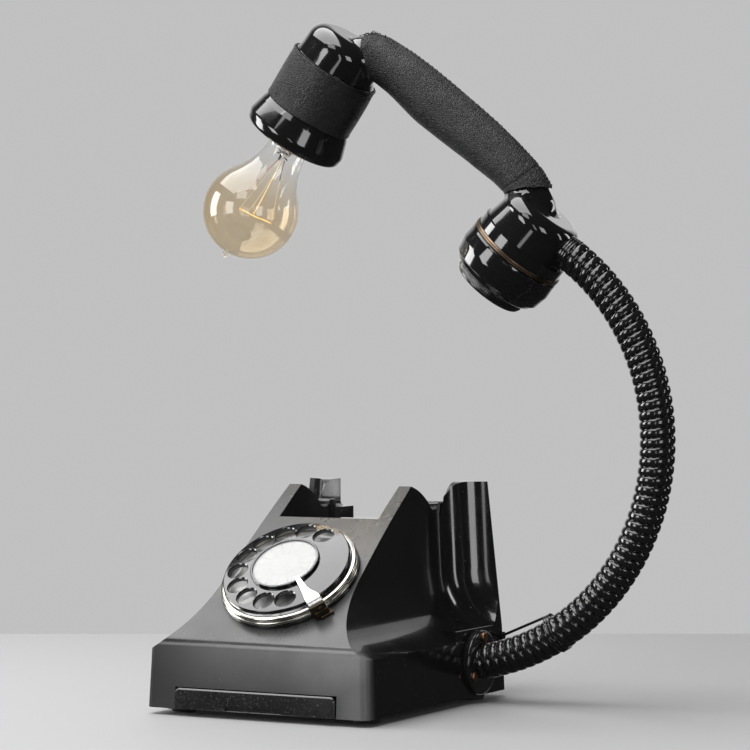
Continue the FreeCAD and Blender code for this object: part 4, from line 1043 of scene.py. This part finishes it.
def conduit_root():
    """Fine close ribs where the conduit enters the back of the transmitter."""
    for index in range(5):
        centre, _, tangent = arm_frame(ARM_END + radians(0.35 + 0.72 * index))
        radius = 10.25 - 0.12 * index
        rib = [(-0.75, 9.2, 0), (-0.75, radius, 0.5), (0.75, radius, 0.5), (0.75, 9.2, 0)]
        matrix = axis_matrix(centre, tangent)
        name = "conduit_root_rib_%d" % index
        turned_piece(name, round_corners(rib), matrix, "conduit_black", 50.0, 96)


# ---- dial pieces
def bezel_piece():
    """The bright ring round the number plate, with two rounded ribs and a lip."""
    low, inner, swell = -8.6, 38.45, 1.25
    outline = [(low, inner)]
    for base_s, radius, height in ((low + 0.05, 39.8, 2.35), (low + 2.9, 39.5, 2.3)):
        for step in range(13):
            turn = pi * step / 12
            rise = height * (1 - cos(turn)) / 2
            outline.append((base_s + rise, radius + swell * sin(turn)))
    outline += [(low + 5.3, 39.3), (low + 5.3, inner)]
    turned_piece("dial_bezel_ribbed", outline, DIAL_MATRIX, "nickel", 50.0, stands_for="dial_bezel")


def finger_stop_pieces():
    """A bright blade over the wheel, flared at its root, on a dark bracket."""
    place = DIAL_MATRIX @ Matrix.Rotation(radians(-42.0), 4, "Z")
    stations = [  # distance out, height, and the blade's two edges
        (18.9, 4.9, -1.4, 1.3), (22.0, 4.7, -1.7, 1.3), (25.5, 4.0, -2.1, 1.35),
        (29.0, 3.1, -2.5, 1.5), (31.5, 2.15, -2.9, 2.0), (34.5, 2.2, -3.5, 2.9),
        (37.0, 2.2, -4.0, 3.9), (39.5, 2.15, -4.3, 4.3), (41.3, 1.5, -4.4, 4.4),
        (42.5, 0.3, -4.4, 4.4), (43.0, -1.3, -4.4, 4.4), (43.05, -3.4, -4.3, 4.3),
    ]
    thick = 1.05
    verts = []
    for index, (r, z, left, right) in enumerate(stations):
        ahead = stations[min(index + 1, len(stations) - 1)]
        behind = stations[max(index - 1, 0)]
        run = Vector((ahead[0] - behind[0], ahead[1] - behind[1])).normalized()
        under = Vector((-run.y, run.x)) * -thick
        for y, down in ((left, 0), (right, 0), (right, 1), (left, 1)):
            spot = Vector((r + under.x * down, y, z + under.y * down))
            verts.append(place @ (spot * MM))
    last = len(verts) - 4
    faces = tube_faces(len(stations) - 1, 4)
    faces += [(0, 1, 2, 3), (last, last + 1, last + 2, last + 3)]
    mesh = mesh_of("finger_stop_blade_form", verts, faces)
    rides = {"stands_for": "finger_stop", "slot": "nickel"}
    round_edges(add_piece("finger_stop_blade", mesh, "nickel_bright", 40.0, **rides), 0.28)
    plates = [
        ("stop_bracket_arm", (41.6, 44.4), (-4.7, 4.7), (-8.2, -1.0)),
        ("stop_bracket_step", (41.9, 45.3), (-3.4, 5.3), (-9.6, -5.0)),
        ("stop_bracket_foot", (41.7, 46.3), (-1.0, 7.2), (-10.4, -8.4)),
    ]
    sides = [(0, 1, 3, 2), (4, 6, 7, 5), (0, 4, 5, 1), (2, 3, 7, 6), (0, 2, 6, 4), (1, 5, 7, 3)]
    for name, outs, acrosses, heights in plates:
        corners = [Vector((r, y, z)) for r in outs for y in acrosses for z in heights]
        box = mesh_of(name + "_form", [place @ (corner * MM) for corner in corners], sides)
        round_edges(add_piece(name, box, "stop_bronze", 40.0), 0.35)
    head = round_corners([(44.4, 0, 0), (45.2, 0, 0), (45.2, 1.9, 0.4), (44.4, 2.1, 0)], False)
    screw = place @ Matrix.Translation(Vector((0, 1.2, -4.6)) * MM)
    screw = screw @ Matrix.Rotation(radians(90.0), 4, "Y")
    turned_piece("stop_screw", head, screw, "stop_bronze", 40.0, 48, False)


FIRST_HOLE = 64.0
HOLE_STEP = 25.5
HOLE_CIRCLE = 29.5
HOLES = 10


def number_plate_piece():
    """White enamelled plate, dished under each finger hole where it lies at rest."""
    turns = [radians(FIRST_HOLE + HOLE_STEP * index) for index in range(HOLES)]
    centres = [Vector((HOLE_CIRCLE * cos(turn), HOLE_CIRCLE * sin(turn))) for turn in turns]
    rows, columns = 56, 360
    inner, outer, height = 10.0, 38.3, -6.6
    verts = []
    for row in range(rows + 1):
        radius = inner + (outer - inner) * row / rows
        for column in range(columns):
            turn = 2 * pi * column / columns
            spot = Vector((radius * cos(turn), radius * sin(turn)))
            near = min((spot - centre).length for centre in centres)
            dish = 0.55 * max(0.0, 1 - (near / 6.2) ** 2)
            verts.append(DIAL_MATRIX @ polar(height - dish, radius, turn))
    mesh = mesh_of("number_plate_form", verts, tube_faces(rows, columns))
    piece = add_piece("number_plate_dished", mesh, "white_enamel", 60.0, stands_for="number_plate")
    thicken(piece, 0.5)


def label_card_piece():
    """The white card with two faint rings and sixteen radial lines."""
    line, hub, rim, edge = 0.42, 8.9, 18.3, 19.2
    spokes = 16
    half = line / 2 / hub
    gap = 2 * pi / spokes - 2 * half
    angles = []
    for index in range(spokes):
        middle = 2 * pi * index / spokes + 0.13
        angles += [middle - half, middle + half]
        angles += [middle + half + gap * share for share in (0.25, 0.5, 0.75)]
    radii = [hub, hub + line, rim, rim + line, edge]
    spots = [(0.0, 0.0)] + [(radius, angle) for radius in radii for angle in angles]
    verts = [DIAL_MATRIX @ polar(0.88 + LABEL_LIFT, *spot) for spot in spots]
    faces, line_faces = [], []
    count = len(angles)
    for column in range(count):
        following = (column + 1) % count
        faces.append((0, 1 + column, 1 + following))
        for ring in range(len(radii) - 1):
            low = 1 + ring * count
            high = low + count
            face = (low + column, high + column, high + following, low + following)
            spoke = column % 5 == 0 and ring == 1
            (line_faces if spoke or ring in (0, 2) else faces).append(face)
    mesh = mesh_of("label_card_form", verts, faces, line_faces, tidy=False)
    looks = ["label_paper", "label_line"]
    rides = {"body": "dial_wheel", "stands_for": "label_card"}
    thicken(add_piece("label_card_printed", mesh, looks, 60.0, **rides), 0.35)


# ---- bulb
def in_bulb_plane(s, r, depth=0.0):
    """A point s along and r across the receiver's axis, depth off the arm's plane."""
    return RECEIVER_MATRIX @ (Vector((r, 0, s)) * MM) + Vector((0, depth * MM, 0))


def bent(start, end, sideways):
    """A smooth line between two places in the bulb, bowed sideways."""
    start, end = in_bulb_plane(*start), in_bulb_plane(*end)
    middle = start.lerp(end, 0.35) + Vector((0, sideways * MM, 0))
    line = []
    for step in range(13):
        t = step / 12
        line.append(start * (1 - t) ** 2 + middle * 2 * t * (1 - t) + end * t * t)
    return line


def filament_pieces():
    """A straight filament across the globe, its lead wires and the crimped mount."""
    ends = (107.2, 7.1, -1.0), (102.7, -15.8, 1.0)
    first, last = (in_bulb_plane(*end) for end in ends)
    lift = (last - first).normalized().cross(SIDE)
    coil = []
    turns = 46
    for step in range(turns * 6 + 1):
        share = step / (turns * 6)
        turn = 2 * pi * step / 6
        bow = 0.35 * sin(share * pi * 3)
        around = SIDE * cos(turn) + lift * sin(turn)
        coil.append(first.lerp(last, share) + (around * 0.30 + lift * bow) * MM)
    rides = {"body": "bulb", "slot": "filament_wire"}
    name = "bulb_filament_coil"
    wire_piece(name, [coil], 0.15, "filament_glow", 1, stands_for="bulb_filament", **rides)
    wire_piece("bulb_filament_core", [[first, last]], 0.24, "filament_glow", **rides)
    thin = [
        bent((67.0, 1.0, 1.0), ends[0], -2.0),
        bent((67.0, -2.2, -1.0), ends[1], 2.0),
        bent((68.0, 0.2, 2.0), (106.0, 1.5, 0.4), 3.0),
    ]
    main = [bent((66.0, -0.6), (104.4, -2.9, 0.2), 1.2)]
    red = [bent((66.5, 0.9, -1.2), (95.1, 8.1, -2.5), -1.5)]
    dark = [bent((65.0, -3.2, -1.4), (76.9, -7.5, -2.0), -1.0)]
    bright_scraps, dark_scraps = [], []
    for index in range(22):
        spans = (55.0, 65.0), (-3.4, 3.0), (-3.0, 3.0)
        line = [in_bulb_plane(*(random.uniform(*span) for span in spans))]
        for _ in range(4):
            step = Vector([random.uniform(-1.5, 1.5) for _ in range(3)]) * MM
            line.append(line[-1] + step)
        (dark_scraps if index % 2 else bright_scraps).append(line)
    for name, lines, radius, look in (
        ("bulb_main_lead", main, 0.46, "filament_wire"),
        ("bulb_support_wires", thin, 0.13, "filament_wire"),
        ("bulb_copper_lead", red, 0.22, "wire_red"),
        ("bulb_anchor_wire", dark, 0.26, "wire_dark"),
        ("bulb_crimp_bright", bright_scraps, 0.42, "nickel"),
        ("bulb_crimp_dark", dark_scraps, 0.46, "wire_dark"),
    ):
        wire_piece(name, lines, radius, look, body="bulb")


def stem_piece():
    """Flared glass stem, pinched flat where the lead wires pass through it."""
    outline = [
        (50.3, 0.0, 0), (50.3, 11.2, 0.4), (51.2, 11.2, 0.4), (56.0, 5.2, 4.0),
        (62.0, 4.0, 2.0), (66.5, 3.0, 1.0), (67.5, 0.0, 0),
    ]

    def pinch(s, r, angle):
        flat = 0.45 * max(0.0, min(1.0, (s - 56.0) / 6.0))
        return s, r * (1 - flat * cos(angle) ** 2)

    outline = round_corners(outline, closed=False, steps=6)
    rides = {"closed": False, "shape": pinch, "body": "bulb", "stands_for": "bulb_stem"}
    turned_piece("bulb_stem_pinched", outline, RECEIVER_MATRIX, "stem_glass", 50.0, 96, **rides)


materials = make_materials()
make_camera()
make_world()
make_lights()
make_floor()
dress_cad_nodes()
for node, width in ROUNDED_NODES.items():
    rounded_node(node, width)
dome_wheel()
label_window_piece()
conduit_piece()
stay_pieces()
leather_piece()
seam_threads()
band_piece()
band_lacing()
ear_cap_piece()
mouthpiece_pieces()
conduit_root()
bezel_piece()
finger_stop_pieces()
number_plate_piece()
label_card_piece()
filament_pieces()
stem_piece()

bpy.context.view_layer.update()
